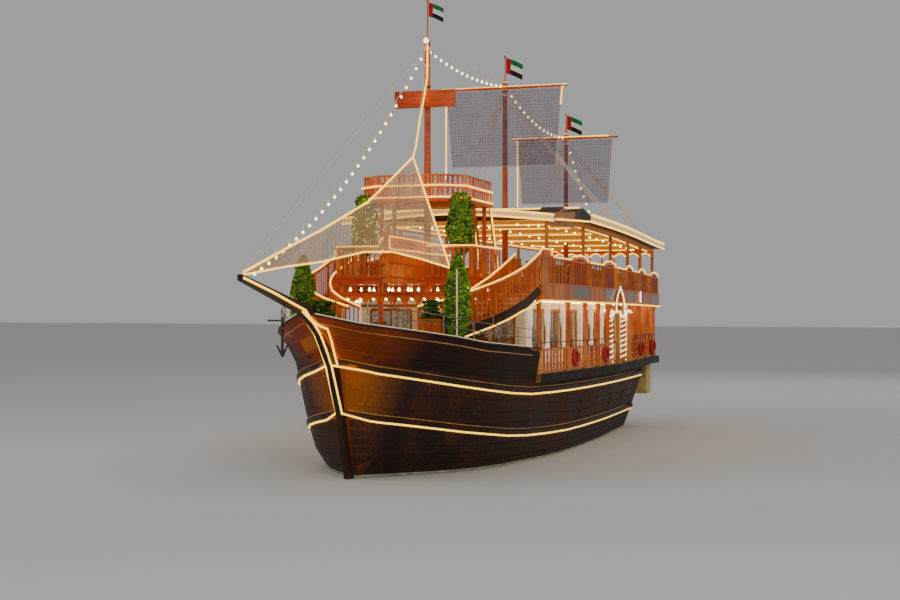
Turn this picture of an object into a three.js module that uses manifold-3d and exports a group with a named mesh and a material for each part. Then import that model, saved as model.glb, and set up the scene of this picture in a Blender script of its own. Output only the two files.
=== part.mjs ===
// A wooden dinner-cruise dhow. Built in metres: x to port, s aft of the stem at the water, z above the water.
// The exported part is in millimetres, bow towards -Y, port towards +X, origin at the water amidships.
import * as THREE from 'three';
import { mergeVertices } from 'three/addons/utils/BufferGeometryUtils.js';
import Module from 'manifold-3d';

const wasm = await Module();
wasm.setup();

const ORIGIN_STATION = 10;   // the part's origin lies this far aft of the stem, m
const GAP = 0.0004;          // left between pieces that touch, m
const SIDES = [1, -1];       // port, starboard

// Levels
const DECK = 3.1, DECK_UNDER = 2.8, FOREDECK = 3.85;
const UPPER = 6.25, UPPER_UNDER = 5.95, HEADER_UNDER = 5.7;
const BALCONY = 6.4, BALCONY_UNDER = 6.2;
const ROOF_UNDER = 8.85, ROOF_TOP = 9.1;
const TOP_DECK = 9.17, TOP_DECK_UNDER = 9.0, TOP_FENCE = 9.93;

// Stations
const BREAK = 7.0;           // the raised foredeck ends and the saloon deck starts
const TRANSOM = 24.8, DECK_END = 27.6, UPPER_END = 28.0;
const SALOON = { front: 7.7, knuckle: 14, end: 26.2, frontHalf: 3.2, endHalf: 2.05, wall: 0.08 };

// Lines of the hull, each as [station, value]
const STEM_LINE = [[-2.1, 2.6], [-1.5, 1.25], [-0.8, 0.5], [0, 0], [2.03, -0.66], [3.59, -1.1], [4.4, -1.95],
  [5.46, -3.67]];
const DECK_HALF = [[-3.4, 0.08], [-3, 0.6], [-2, 1.45], [-1, 2.1], [0, 2.6], [1, 3.0], [2, 3.38], [3, 3.66],
  [5, 3.9], [7.5, 4.0], [10, 4.05], [13, 4.0], [16, 3.88], [19, 3.65], [22, 3.35], [25, 3.0], [28, 2.7]];
const WATER_HALF = [[0, 0.08], [1, 0.85], [2, 1.65], [3, 2.28], [4.5, 2.88], [6.5, 3.18], [8.4, 3.34], [10.5, 3.4],
  [13.2, 3.27], [17.6, 2.87], [21, 2.4], [24.8, 1.9]];
const SHEER = [[-3.7, 5.4], [-3, 5.1], [-2.3, 4.94], [-1.2, 4.77], [1.3, 4.45], [2.5, 4.26], [5.8, 4.02],
  [7, 3.97], [9, 3.5], [12, 3.3], [28, 3.3]];
// How soon the sections widen above the water, by station: the smaller, the rounder
const FULLNESS = [[0, 0.6], [1, 0.45], [3, 0.4], [5, 0.5], [9, 0.9]];
const KEEL_LINE = [[0, -1.3], [3, -1.55], [17, -1.5], [21, -0.95], [24.8, -0.2]];
const UPPER_STRAKE = [[-1.2, 3.68], [-0.6, 3.43], [0.5, 3.2], [2, 2.94], [3.5, 2.73], [5.9, 2.48], [9.5, 2.42],
  [25, 2.4]];
const LOWER_STRAKE = [[-1.2, 2.2], [-0.2, 1.87], [0.9, 1.68], [2.4, 1.43], [4.7, 1.15], [6.5, 1.02], [10.3, 0.9],
  [25, 0.9]];

// Masts: station, radius at the foot and head, foot and head height
const MASTS = {
  foremast: { s: 6.33, foot: 0.15, head: 0.1, z0: FOREDECK, z1: 14.85, pole: 16.3 },
  main_mast: { s: 14.43, foot: 0.14, head: 0.09, z0: DECK, z1: 14.45, pole: 15.4, yard: 14.12 },
  mizzen_mast: { s: 22.37, foot: 0.13, head: 0.08, z0: DECK, z1: 13.15, pole: 13.9, yard: 12.82 },
};

const WOOD = { color: 0x8a4a1e, roughness: 0.45, metalness: 0 };
const DARK_WOOD = { color: 0x3a2013, roughness: 0.5, metalness: 0 };
const RED_WOOD = { color: 0x9c3a16, roughness: 0.4, metalness: 0 };
const STEEL = { color: 0xb8bcc0, roughness: 0.3, metalness: 0.9 };
const IRON = { color: 0x3b3d40, roughness: 0.6, metalness: 0.6 };
const BRASS = { color: 0xb08d3c, roughness: 0.3, metalness: 0.9 };
const GLASS = { color: 0xa8c4c8, roughness: 0.05, metalness: 0, transparent: true, opacity: 0.4 };
const NET = { color: 0x9a7a5a, roughness: 0.9, metalness: 0 };
const ROPE = { color: 0xb49a70, roughness: 0.9, metalness: 0 };
const CREAM = { color: 0xd8c890, roughness: 0.6, metalness: 0 };
const LEAVES = { color: 0x4f7a2a, roughness: 0.7, metalness: 0 };

// Value of a table of [key, value] at a key, on straight lines between the rows
function at(table, key) {
  if (key <= table[0][0]) return table[0][1];
  for (let i = 1; i < table.length; i++) {
    const [a, va] = table[i - 1], [b, vb] = table[i];
    if (key <= b) return va + ((vb - va) * (key - a)) / (b - a);
  }
  return table.at(-1)[1];
}

// Above the foredeck's level the decks and the roof draw together towards the stern
const rakedZ = (s, z) => (z <= FOREDECK ? z : FOREDECK + (z - FOREDECK) * (1 - 0.00714 * (s - BREAK)));

// Solids
function solid(geometry) {
  geometry.deleteAttribute('normal');
  geometry.deleteAttribute('uv');
  const merged = mergeVertices(geometry, 1e-6);
  return new wasm.Manifold(new wasm.Mesh({
    numProp: 3,
    vertProperties: new Float32Array(merged.attributes.position.array),
    triVerts: new Uint32Array(merged.index.array),
  }));
}

const join = (...solids) => wasm.Manifold.union(solids.flat());

function cut(from, ...tools) {
  return from.subtract(join(...tools));
}

const largest = (made) => made.decompose().sort((a, b) => b.volume() - a.volume())[0];

const box = (x0, x1, s0, s1, z0, z1) => solid(new THREE.BoxGeometry(x1 - x0, s1 - s0, z1 - z0)
  .translate((x0 + x1) / 2, (s0 + s1) / 2, (z0 + z1) / 2));

// Round bar between two points, r0 at the first
function rod(p, q, r0, r1 = r0, sides = 8) {
  const a = new THREE.Vector3(...p), b = new THREE.Vector3(...q);
  const along = b.clone().sub(a);
  const turn = new THREE.Quaternion().setFromUnitVectors(new THREE.Vector3(0, 1, 0), along.clone().normalize());
  return solid(new THREE.CylinderGeometry(r1, r0, along.length(), sides)
    .applyQuaternion(turn).translate(...a.add(b).multiplyScalar(0.5).toArray()));
}

const upright = (x, s, z0, z1, r0, r1 = r0, sides = 12) => rod([x, s, z0], [x, s, z1], r0, r1, sides);

// Board between two points: plumb sides and ends, `wide` across and `high` up and down
function beam(p, q, wide, high) {
  const dx = q[0] - p[0], ds = q[1] - p[1], length = Math.hypot(dx, ds);
  const n = [(ds / length) * (wide / 2), (-dx / length) * (wide / 2)];
  const corners = [];
  for (const end of [p, q])
    for (const [side, up] of [[1, -1], [1, 1], [-1, 1], [-1, -1]])
      corners.push(end[0] + side * n[0], end[1] + side * n[1], end[2] + (up * high) / 2);
  const g = new THREE.BufferGeometry();
  g.setAttribute('position', new THREE.Float32BufferAttribute(corners, 3));
  g.setIndex([0, 2, 1, 0, 3, 2, 4, 5, 6, 4, 6, 7, 0, 1, 5, 0, 5, 4, 1, 2, 6, 1, 6, 5, 2, 3, 7, 2, 7, 6,
    3, 0, 4, 3, 4, 7]);
  const made = solid(g);
  return made.volume() < 0 ? solid(flipped(g)) : made;
}

function flipped(g) {
  const index = g.index.array;
  for (let i = 0; i < index.length; i += 3) [index[i + 1], index[i + 2]] = [index[i + 2], index[i + 1]];
  return g;
}

// Plan outline [[x, s], ...] raised from z0 to z1
function slab(outline, z0, z1) {
  const shape = new THREE.Shape(outline.map(([x, s]) => new THREE.Vector2(x, s)));
  return solid(new THREE.ExtrudeGeometry(shape, { depth: z1 - z0, bevelEnabled: false }).translate(0, 0, z0));
}

// Outline [[a, z], ...] stood up and given a thickness: along x when across is true, else along s
function plate(outline, from, to, across = true) {
  const shape = new THREE.Shape(outline.map(([a, z]) => new THREE.Vector2(a, z)));
  const g = new THREE.ExtrudeGeometry(shape, { depth: to - from, bevelEnabled: false });
  const place = across
    ? new THREE.Matrix4().set(0, 0, 1, from, 1, 0, 0, 0, 0, 1, 0, 0, 0, 0, 0, 1)
    : new THREE.Matrix4().set(1, 0, 0, 0, 0, 0, -1, to, 0, 1, 0, 0, 0, 0, 0, 1);
  return solid(g.applyMatrix4(place));
}

// Symmetrical loft: rows of port-side points [half, s, z] from the lowest up, mirrored to starboard
function mirroredLoft(rows) {
  const levels = rows[0].length, positions = [], index = [];
  for (const row of rows) for (const side of SIDES)
    for (const [b, s, z] of row) positions.push(side * b, s, z);
  const P = (t, l) => t * 2 * levels + l, Q = (t, l) => P(t, l) + levels;
  const quad = (a, b, c, d) => index.push(a, b, c, a, c, d);
  const last = rows.length - 1, top = levels - 1;
  for (let t = 0; t < last; t++) {
    for (let l = 0; l < top; l++) {
      quad(P(t, l), P(t + 1, l), P(t + 1, l + 1), P(t, l + 1));
      quad(Q(t, l + 1), Q(t + 1, l + 1), Q(t + 1, l), Q(t, l));
    }
    quad(P(t, top), P(t + 1, top), Q(t + 1, top), Q(t, top));
    quad(Q(t, 0), Q(t + 1, 0), P(t + 1, 0), P(t, 0));
  }
  for (let l = 0; l < top; l++) {
    quad(P(0, l), P(0, l + 1), Q(0, l + 1), Q(0, l));
    quad(Q(last, l), Q(last, l + 1), P(last, l + 1), P(last, l));
  }
  const g = new THREE.BufferGeometry();
  g.setAttribute('position', new THREE.Float32BufferAttribute(positions, 3));
  g.setIndex(index);
  return solid(g);
}

// Bar with four corners that follows a line of stations on one side
function strip(rows) {
  const positions = rows.flat(2), index = [], last = rows.length - 1;
  const quad = (a, b, c, d) => index.push(a, b, c, a, c, d);
  for (let t = 0; t < last; t++)
    for (let c = 0; c < 4; c++) {
      const d = (c + 1) % 4;
      quad(4 * t + c, 4 * t + 4 + c, 4 * t + 4 + d, 4 * t + d);
    }
  quad(0, 1, 2, 3);
  quad(4 * last + 3, 4 * last + 2, 4 * last + 1, 4 * last);
  const g = new THREE.BufferGeometry();
  g.setAttribute('position', new THREE.Float32BufferAttribute(positions, 3));
  g.setIndex(index);
  const made = solid(g);
  return made.volume() < 0 ? solid(flipped(g)) : made;
}

// Thin sheet between two lines with as many points each, `half` thick to either side along x
function sheet(first, second, half) {
  const positions = [-half, half].flatMap((d) =>
    first.flatMap((p, i) => [p, second[i]].flatMap(([x, s, z]) => [x + d, s, z])));
  const n = 2 * first.length, index = [];
  const skins = (a, b, c) => index.push(a, b, c, a + n, c + n, b + n);
  for (let i = 0; i < n - 2; i += 2) {
    skins(i, i + 1, i + 2);
    skins(i + 1, i + 3, i + 2);
  }
  const row = first.map((_, i) => 2 * i), edge = [...row, ...row.map((i) => i + 1).reverse()];
  edge.forEach((a, k) => {
    const b = edge[(k + 1) % edge.length];
    index.push(a, b, b + n, a, b + n, a + n);
  });
  const g = new THREE.BufferGeometry();
  g.setAttribute('position', new THREE.Float32BufferAttribute(positions, 3));
  g.setIndex(index);
  const made = solid(g);
  return made.volume() < 0 ? solid(flipped(g)) : made;
}

// Mitred rail along a line of centre points [x, s, z]
function rail(line, wide, high) {
  const normal = (p, q) => new THREE.Vector2(q[1] - p[1], p[0] - q[0]).normalize();
  return strip(line.map(([x, s, z], i) => {
    const before = normal(line[Math.max(0, i - 1)], line[Math.max(1, i)]);
    const after = normal(line[Math.min(i, line.length - 2)], line[Math.min(i + 1, line.length - 1)]);
    const mitre = before.clone().add(after).normalize();
    const half = wide / 2 / mitre.dot(after);
    const corner = (side, up) => [x + side * half * mitre.x, s + side * half * mitre.y, z + (up * high) / 2];
    return [corner(-1, -1), corner(1, -1), corner(1, 1), corner(-1, 1)];
  }));
}

// The hull's surface
const stemAt = (z) => at(STEM_LINE, z);
const stationAt = (t, z) => stemAt(z) + t * (TRANSOM - stemAt(z));

// Where the sheer passes over hull fraction t: its station and height
function sheerAt(t) {
  let s = t * TRANSOM;
  for (let i = 0; i < 12; i++) s = stationAt(t, at(SHEER, s));
  return [s, at(SHEER, s)];
}

// Half breadth of the hull at fraction t of its length and height z
function halfAt(t, z) {
  const water = at(WATER_HALF, t * TRANSOM);
  if (z >= 0) {
    const [s, top] = sheerAt(t);
    return water + (at(DECK_HALF, s) - water) * Math.min(1, z / top) ** at(FULLNESS, t * TRANSOM);
  }
  const depth = Math.min(1, z / at(KEEL_LINE, t * TRANSOM));
  return Math.max(0.08, water * (1 - depth ** 2.2) ** 0.6);
}

const hullPoint = (t, z, out = 0) => [halfAt(t, z) + out, stationAt(t, z), z];
const fractionAt = (s, z) => (s - stemAt(z)) / (TRANSOM - stemAt(z));
const HULL_STATIONS = [0, 0.02, 0.045, 0.08, 0.12, 0.165, 0.22, 0.29, 0.37, 0.46, 0.55, 0.64, 0.73, 0.82, 0.91, 1];

function hullBody() {
  const under = [1, 0.75, 0.45, 0.2], over = [0, 0.15, 0.26, 0.372, 0.46, 0.56, 0.657, 0.74, 0.806, 0.9, 1];
  return mirroredLoft(HULL_STATIONS.map((t) => {
    const keel = at(KEEL_LINE, t * TRANSOM), top = sheerAt(t)[1];
    return [...under.map((f) => hullPoint(t, f * keel)), ...over.map((f) => hullPoint(t, f * top))];
  }));
}

// The space inside the bulwark above the foredeck
function foredeckWell() {
  return mirroredLoft([0.025, 0.045, 0.08, 0.12, 0.165, 0.22, 0.29, 0.34].map((t) => {
    const top = sheerAt(t)[1];
    return [FOREDECK, (FOREDECK + top) / 2, top, top + 0.5].map((z) => {
      const [half, s] = hullPoint(t, Math.min(z, top), -0.14);
      return [Math.max(0.06, half), s, z];
    });
  }));
}

// Keel, deadwood and sternpost, with an opening for the propeller
function backbone() {
  const deadwood = plate([[1.6, -1.2], [2.2, -2.0], [25.05, -2.0], [25.05, 2.6], [24.5, 2.6], [24.5, -1.0],
    [22, -0.6]], -0.12, 0.12);
  return cut(deadwood, plate([[23.55, -1.82], [24.78, -1.82], [24.78, -0.3], [23.55, -0.3]], -0.3, 0.3));
}

const ENGINE_ROOM = { s0: 15.6, s1: 19.4, half: 1.15, z0: -0.75, z1: 2.3 };
const SHAFT = { z: -1.15, radius: 0.05, front: 18.3, propeller: 24.15 };
const HATCH = { s0: 16.6, s1: 17.6, half: 0.5, ledge: 3.04 };

function hull() {
  const r = ENGINE_ROOM;
  return cut(join(hullBody(), backbone()),
    foredeckWell(),
    box(-6, 6, BREAK, 30, DECK_UNDER, 8),
    box(-r.half, r.half, r.s0, r.s1, r.z0, r.z1),
    hatchway(0.05, r.z1 - 0.1, 3),
    rod([0, SHAFT.front - 0.5, shaftHeight(SHAFT.front - 0.5)], [0, 24, shaftHeight(24)], SHAFT.radius + 0.01));
}

// The shaft falls from the engine to the propeller
const shaftHeight = (s) => SHAFT.z + (SHAFT.propeller - s) * 0.13;

// A rubbing strake on one side, let into the planking
function strake(side, line, high = 0.16, out = 0.11, into = 0.12) {
  const stations = [0.0, ...HULL_STATIONS.slice(1, -1), 0.995];
  const rows = stations.map((t) => {
    let z = 2;
    for (let i = 0; i < 8; i++) z = at(line, stationAt(t, z));
    const lo = hullPoint(t, z), hi = hullPoint(t, z + high);
    const inner = (p) => Math.max(0.02, p[0] - into);
    return [[side * inner(lo), lo[1], lo[2]], [side * (lo[0] + out), lo[1], lo[2]],
      [side * (hi[0] + out), hi[1], hi[2]], [side * inner(hi), hi[1], hi[2]]];
  });
  const nose = rows[0].map(([, s, z], i) => [side * (i === 1 || i === 2 ? STEM_HALF - 0.02 : 0.02), s - 0.12, z]);
  return strip([nose, ...rows]);
}

// Top of the bulwark and of its cap rail, along the hull's own stations
const CAP_STATIONS = [0, 0.02, 0.045, 0.08, 0.12, 0.165, 0.22, 0.29, fractionAt(BREAK - 0.02, 3.97)];
const CAP_LINE = CAP_STATIONS.map(sheerAt);
const CAP_HALF = CAP_LINE.map(([s]) => [s, at(DECK_HALF, s)]);
const capTop = (s) => at(CAP_LINE, s) + 0.07 + 3 * GAP;

// The cap rail on the bulwark of one side
function capRail(side) {
  return strip(CAP_LINE.map(([s, z]) => {
    const half = at(DECK_HALF, s), z0 = z + GAP;
    return [[side * Math.max(0, half - 0.2), s, z0], [side * (half + 0.06), s, z0],
      [side * (half + 0.06), s, z0 + 0.07], [side * Math.max(0, half - 0.2), s, z0 + 0.07]];
  }));
}

const STEM_HALF = 0.085;

// Stem, long prow, cap rails and rubbing strakes, joined as one frame round the hull
function stemAndRails(hullSolid) {
  const stem = [[1.9, -2.0], [1.2, -2.0], [0.2, -1.2], [-0.35, -0.2], [-1.0, 2.03], [-1.7, 3.62], [-2.5, 4.6],
    [-3.05, 4.98], [-3.75, 5.3], [-7.39, 6.25], [-7.39, 6.42], [-3.9, 5.66], [-3.2, 5.55], [-0.6, 4.0], [0.3, 2.0],
    [0.8, 0], [1.9, -1.2]];
  const frame = join(plate(stem, -STEM_HALF, STEM_HALF), ...SIDES.flatMap((side) =>
    [strake(side, UPPER_STRAKE), strake(side, LOWER_STRAKE), capRail(side)]));
  const clearances = [[GAP, 0, 0], [-GAP, 0, 0], [0, -GAP, 0], [0, GAP, 0], [0, 0, GAP], [0, -2 * GAP, GAP]];
  return largest(cut(frame, ...clearances.map((way) => hullSolid.translate(...way))));
}

// Deck outline from one station to another: `out` beyond the deck edge
function deckOutline(s0, s1, out, steps = 12) {
  const stations = Array.from({ length: steps + 1 }, (_, i) => s0 + ((s1 - s0) * i) / steps);
  return [...stations.map((s) => [at(DECK_HALF, s) + out, s]),
    ...stations.reverse().map((s) => [-at(DECK_HALF, s) - out, s])];
}

// The main deck, with a ledge round the hatchway for its lid
const mainDeck = () => cut(
  slab(deckOutline(BREAK + GAP, DECK_END, 0.03), DECK_UNDER + GAP, DECK),
  hatchway(0.05, 2, 4), hatchway(0, HATCH.ledge, 4));

const hatchway = (inset, z0, z1) =>
  box(-HATCH.half + inset, HATCH.half - inset, HATCH.s0 + inset, HATCH.s1 - inset, z0, z1);

const hatch = () => hatchway(0.012, HATCH.ledge + GAP, DECK);

// Guard rail with two bars on the cap rail
function guardRail(side, railsSolid) {
  const stations = [-1.9, -0.6, 0.8, 2.2, 3.7, 5.2, 6.85];
  const feet = stations.map((s) => [side * (at(CAP_HALF, s) - 0.07), s, capTop(s)]);
  const bars = [0.32, 0.62];
  const parts = feet.map(([x, s, z]) => upright(x, s, z - 0.03, z + 0.64, 0.022, 0.022, 5));
  for (let i = 1; i < feet.length; i++)
    for (const up of bars) {
      const [a, b] = [feet[i - 1], feet[i]];
      parts.push(rod([a[0], a[1], a[2] + up], [b[0], b[1], b[2] + up], 0.018, 0.018, 5));
    }
  return largest(cut(join(...parts), railsSolid.translate(0, 0, GAP)));
}

// Saloon outline: half breadth at a station, less `inset`
const saloonHalf = (s, inset = 0) => (s <= SALOON.knuckle ? SALOON.frontHalf
  : SALOON.frontHalf + ((SALOON.endHalf - SALOON.frontHalf) * (s - SALOON.knuckle)) / (SALOON.end - SALOON.knuckle))
  - inset;

function saloonRing(outer, inner) {
  const outline = (d) => [SALOON.front + d, SALOON.knuckle, SALOON.end - d].map((s) => [saloonHalf(s, d), s]);
  const closed = (d) => [...outline(d), ...outline(d).reverse().map(([x, s]) => [-x, s])];
  return cut(slab(closed(outer), DECK + GAP, UPPER_UNDER - GAP), slab(closed(inner), 2, 8));
}

const SALOON_WINDOWS = [8.2, 10.1, 12.0, 14.3, 16.2, 18.4, 20.3, 22.2, 24.1];
const WINDOW = { wide: 1.6, z0: 3.9, z1: 5.35 };
const DOORWAY = { half: 0.8, z1: 5.2 };

const doorways = (more = 0) => [
  box(-DOORWAY.half - more, DOORWAY.half + more, SALOON.front - 0.5, SALOON.front + 0.5, 3, DOORWAY.z1),
  box(-DOORWAY.half / 2 - more, DOORWAY.half / 2 + more, SALOON.end - 0.5, SALOON.end + 0.5, 3, DOORWAY.z1)];

function saloon() {
  return cut(saloonRing(0, SALOON.wall), ...doorways(),
    ...SALOON_WINDOWS.map((s) => box(-6, 6, s, s + WINDOW.wide, WINDOW.z0, WINDOW.z1)),
    ...SIDES.map((side) => box(side > 0 ? 1.2 : -2.8, side > 0 ? 2.8 : -1.2, 7, 8.5, WINDOW.z0, WINDOW.z1)));
}

const saloonGlass = () => cut(saloonRing(SALOON.wall + GAP, SALOON.wall + 0.012), ...doorways(0.05));

const SALOON_INSIDE = SALOON.front + SALOON.wall;

// Two strap hinges on a door's face: pins at x and s, straps reaching `way` metres over the leaf
const doorHinges = (x, s, way, leafFace) => [3.5, 4.8].flatMap((z) => [
  upright(x, s, z - 0.06, z + 0.06, 0.0095, 0.0095, 16),
  box(...[x, x + way].sort((a, b) => a - b), Math.min(s, leafFace), Math.max(s, leafFace), z - 0.03, z + 0.03)]);

// A door leaf in the front doorway, hung inside at its outer edge: it opens into the saloon
const saloonDoor = (side) => join(
  box(...[0.006, DOORWAY.half - 0.006].map((x) => side * x).sort((a, b) => a - b),
    SALOON_INSIDE - 0.04, SALOON_INSIDE, DECK + 0.012, DOORWAY.z1 - 0.012),
  ...doorHinges(side * DOORWAY.half, SALOON_INSIDE + 0.01, -side * 0.3, SALOON_INSIDE - 0.001));

const aftDoor = () => join(
  box(-DOORWAY.half / 2 + 0.006, DOORWAY.half / 2 - 0.006,
    SALOON.end - 0.04, SALOON.end, DECK + 0.012, DOORWAY.z1 - 0.012),
  ...doorHinges(-DOORWAY.half / 2, SALOON.end + 0.01, 0.25, SALOON.end - 0.001));

// Rail along the deck edge, straight between its stations
const edgeRun = (side, stations, inset, z0, z1, wide) => rail(
  stations.map((s) => [side * (at(DECK_HALF, s) - inset), s, (z0 + z1) / 2]), wide, z1 - z0);

const COLUMNS = [7.2, 10.35, 12.6, 14.55, 16.1, 20.7, 22.9, 25.1, 27.3];

// Slatted balustrade of the main deck on one side, between the break and the portal and from there aft
function balustrade(side) {
  const runs = [[7.2, 10.35, 12.6, 14.55, 16.1], [20.7, 22.9, 25.1, 27.3]];
  return runs.flatMap((run) => {
    const rails = [[3.9, 3.98, 0.08], [3.14, 3.2, 0.06]].map(([z0, z1, wide]) =>
      edgeRun(side, run, 0.12, z0, z1, wide));
    const edge = run.map((s) => [s, at(DECK_HALF, s) - 0.12]);
    const slats = [];
    for (let s = run[0] + 0.45; s < run.at(-1) - 0.2; s += 1.2)
      slats.push(upright(side * at(edge, s), s, 3.15, 3.95, 0.022, 0.022, 4));
    return [...rails, ...slats];
  });
}

function arcade(side) {
  const posts = COLUMNS.map((s) => upright(side * (at(DECK_HALF, s) - 0.12), s, DECK + GAP, 5.75, 0.09, 0.075, 10));
  return join(edgeRun(side, COLUMNS, 0.12, HEADER_UNDER, UPPER_UNDER - GAP, 0.18), ...posts,
    ...balustrade(side));
}

// Board stood on the line p to q, its outline given as [[along, z], ...]
function standing(p, q, outline, thick) {
  const along = new THREE.Vector3(q[0] - p[0], q[1] - p[1], 0).normalize();
  const across = new THREE.Vector3(along.y, -along.x, 0);
  const shape = new THREE.Shape(outline.map(([a, z]) => new THREE.Vector2(a, z)));
  const g = new THREE.ExtrudeGeometry(shape, { depth: thick, bevelEnabled: false }).translate(0, 0, -thick / 2);
  return solid(g.applyMatrix4(new THREE.Matrix4()
    .makeBasis(along, new THREE.Vector3(0, 0, 1), across).setPosition(p[0], p[1], 0)));
}

const PORTAL = { columns: [16.6, 18.1, 19.3], arch: [16.55, 18.15], spring: 5.35, apex: 6.45, band: 0.14 };

// Entrance with ornate columns and a pointed arch on the outside
function portal(side) {
  const x = (s, out) => side * (at(DECK_HALF, s) + out);
  const columns = PORTAL.columns.map((s) =>
    upright(x(s, -0.12), s, DECK + GAP, HEADER_UNDER - GAP, 0.085, 0.085, 10));
  const [s0, s1] = PORTAL.arch, wide = s1 - s0, b = PORTAL.band;
  const outline = [[0, PORTAL.spring], [0, 5.75], [wide * 0.15, 6.05], [wide / 2, PORTAL.apex], [wide * 0.85, 6.05],
    [wide, 5.75], [wide, PORTAL.spring], [wide - b, PORTAL.spring], [wide - b, 5.7], [wide * 0.77, 5.95],
    [wide / 2, PORTAL.apex - 0.2], [wide * 0.23, 5.95], [b, 5.7], [b, PORTAL.spring]];
  const arch = standing([x(s0, 0.1), s0], [x(s1, 0.1), s1], outline, 0.08);
  const ties = [s0 + b / 2, s1 - b / 2].map((s) => beam([x(s, -0.14), s - 0.001, 5.5], [x(s, 0.12), s + 0.001, 5.5],
    0.1, 0.2));
  const lintel = beam([x(16.5, -0.12), 16.5, 5.5], [x(19.4, -0.12), 19.4, 5.5], 0.1, 0.2);
  return join(...columns, arch, ...ties, lintel);
}

const mastHole = (mast, z0, z1) => upright(0, MASTS[mast].s, z0, z1, MASTS[mast].foot + 0.02);

const upperDeck = () => cut(slab(deckOutline(BREAK, UPPER_END, 0.05), UPPER_UNDER, UPPER),
  mastHole('main_mast', 5, 7), mastHole('mizzen_mast', 5, 7));

// The upper deck's side screen: solid below, then rails, planks or a round-topped board
const SCREEN = [[7.15, 'plank'], [8.2, 'rail'], [10.4, 'arch'], [12.7, 'rail'], [15.0, 'arch'], [17.1, 'rail'],
  [19.2, 'arch'], [20.85, 'rail'], [22.4, 'arch'], [24.2, 'rail'], [25.8, 'arch'], [27.9, 'end']];
const SCREEN_TOP = 7.24, SCREEN_SOLID = 6.68, SCREEN_ARCH = 7.42;

function screen(side) {
  const place = (s) => [side * (at(DECK_HALF, s) - 0.03), s];
  const z0 = UPPER + GAP, parts = [];
  for (let i = 0; i < SCREEN.length - 1; i++) {
    const [s, kind] = SCREEN[i], p = place(s), q = place(SCREEN[i + 1][0]);
    const long = Math.hypot(q[0] - p[0], q[1] - p[1]);
    const high = { rail: SCREEN_SOLID, plank: SCREEN_TOP + 0.25, arch: SCREEN_TOP }[kind];
    const outline = [[0, z0], [long, z0], [long, high], [0, high]];
    if (kind === 'arch')
      outline.splice(3, 0, [long * 0.85, high + 0.1], [long * 0.5, SCREEN_ARCH], [long * 0.15, high + 0.1]);
    parts.push(standing(p, q, outline, 0.05), beam([...p, SCREEN_TOP - 0.03], [...q, SCREEN_TOP - 0.03], 0.09, 0.06));
    parts.push(upright(...p, z0, SCREEN_TOP + 0.03, 0.05, 0.05, 6));
    if (kind === 'rail')
      for (const a of [0.25, 0.5, 0.75])
        parts.push(upright(p[0] + (q[0] - p[0]) * a, p[1] + (q[1] - p[1]) * a, high - 0.05, SCREEN_TOP - 0.02,
          0.016, 0.016, 4));
  }
  parts.push(upright(...place(SCREEN.at(-1)[0]), z0, SCREEN_TOP + 0.03, 0.05, 0.05, 6));
  return join(...parts);
}

const STERN_ARCADE = { reach: 2.4, columns: 9, under: 8.6 };

// Rail across the stern of the upper deck between the two screens, with an arcade on it under the roof
function sternScreen() {
  const s = 27.9, half = at(DECK_HALF, s) - 0.15, z0 = UPPER + GAP;
  const rail = [box(-half, half, s - 0.03, s + 0.03, z0, SCREEN_SOLID),
    box(-half, half, s - 0.045, s + 0.045, SCREEN_TOP - 0.06, SCREEN_TOP)];
  for (let x = -half + 0.03; x <= half; x += (2 * half - 0.06) / 8)
    rail.push(upright(x, s, SCREEN_SOLID - 0.05, SCREEN_TOP - 0.02, 0.03, 0.03, 4));
  const { reach, columns, under } = STERN_ARCADE;
  for (let i = 0; i < columns; i++)
    rail.push(upright(-reach + (2 * reach * i) / (columns - 1), s, SCREEN_TOP - 0.02, under + 0.02, 0.04, 0.04, 6));
  rail.push(box(-reach - 0.05, reach + 0.05, s - 0.04, s + 0.04, under, ROOF_UNDER - GAP));
  return join(...rail);
}

const BALCONY_FRONT = 4.15, BALCONY_HALF = 2.62;

// Floor in front of the upper deck, on posts that stand on the foredeck
function balcony() {
  const floor = cut(box(-BALCONY_HALF, BALCONY_HALF, BALCONY_FRONT, BREAK - GAP, BALCONY_UNDER, BALCONY),
    mastHole('foremast', 6, 7));
  const posts = [-2.45, -0.9, 0.9, 2.45].map((x) =>
    upright(x, BALCONY_FRONT + 0.12, FOREDECK + GAP, BALCONY_UNDER + 0.05, 0.09, 0.08, 10));
  return join(floor, ...posts);
}

// The small ship's bow that juts out from the balcony, with slatted rails on both sides of it
const SMALL_BOW = [[0.8, BALCONY_FRONT - GAP], [0.66, 3.75], [0.42, 3.35], [0.05, 2.9]];

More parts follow.
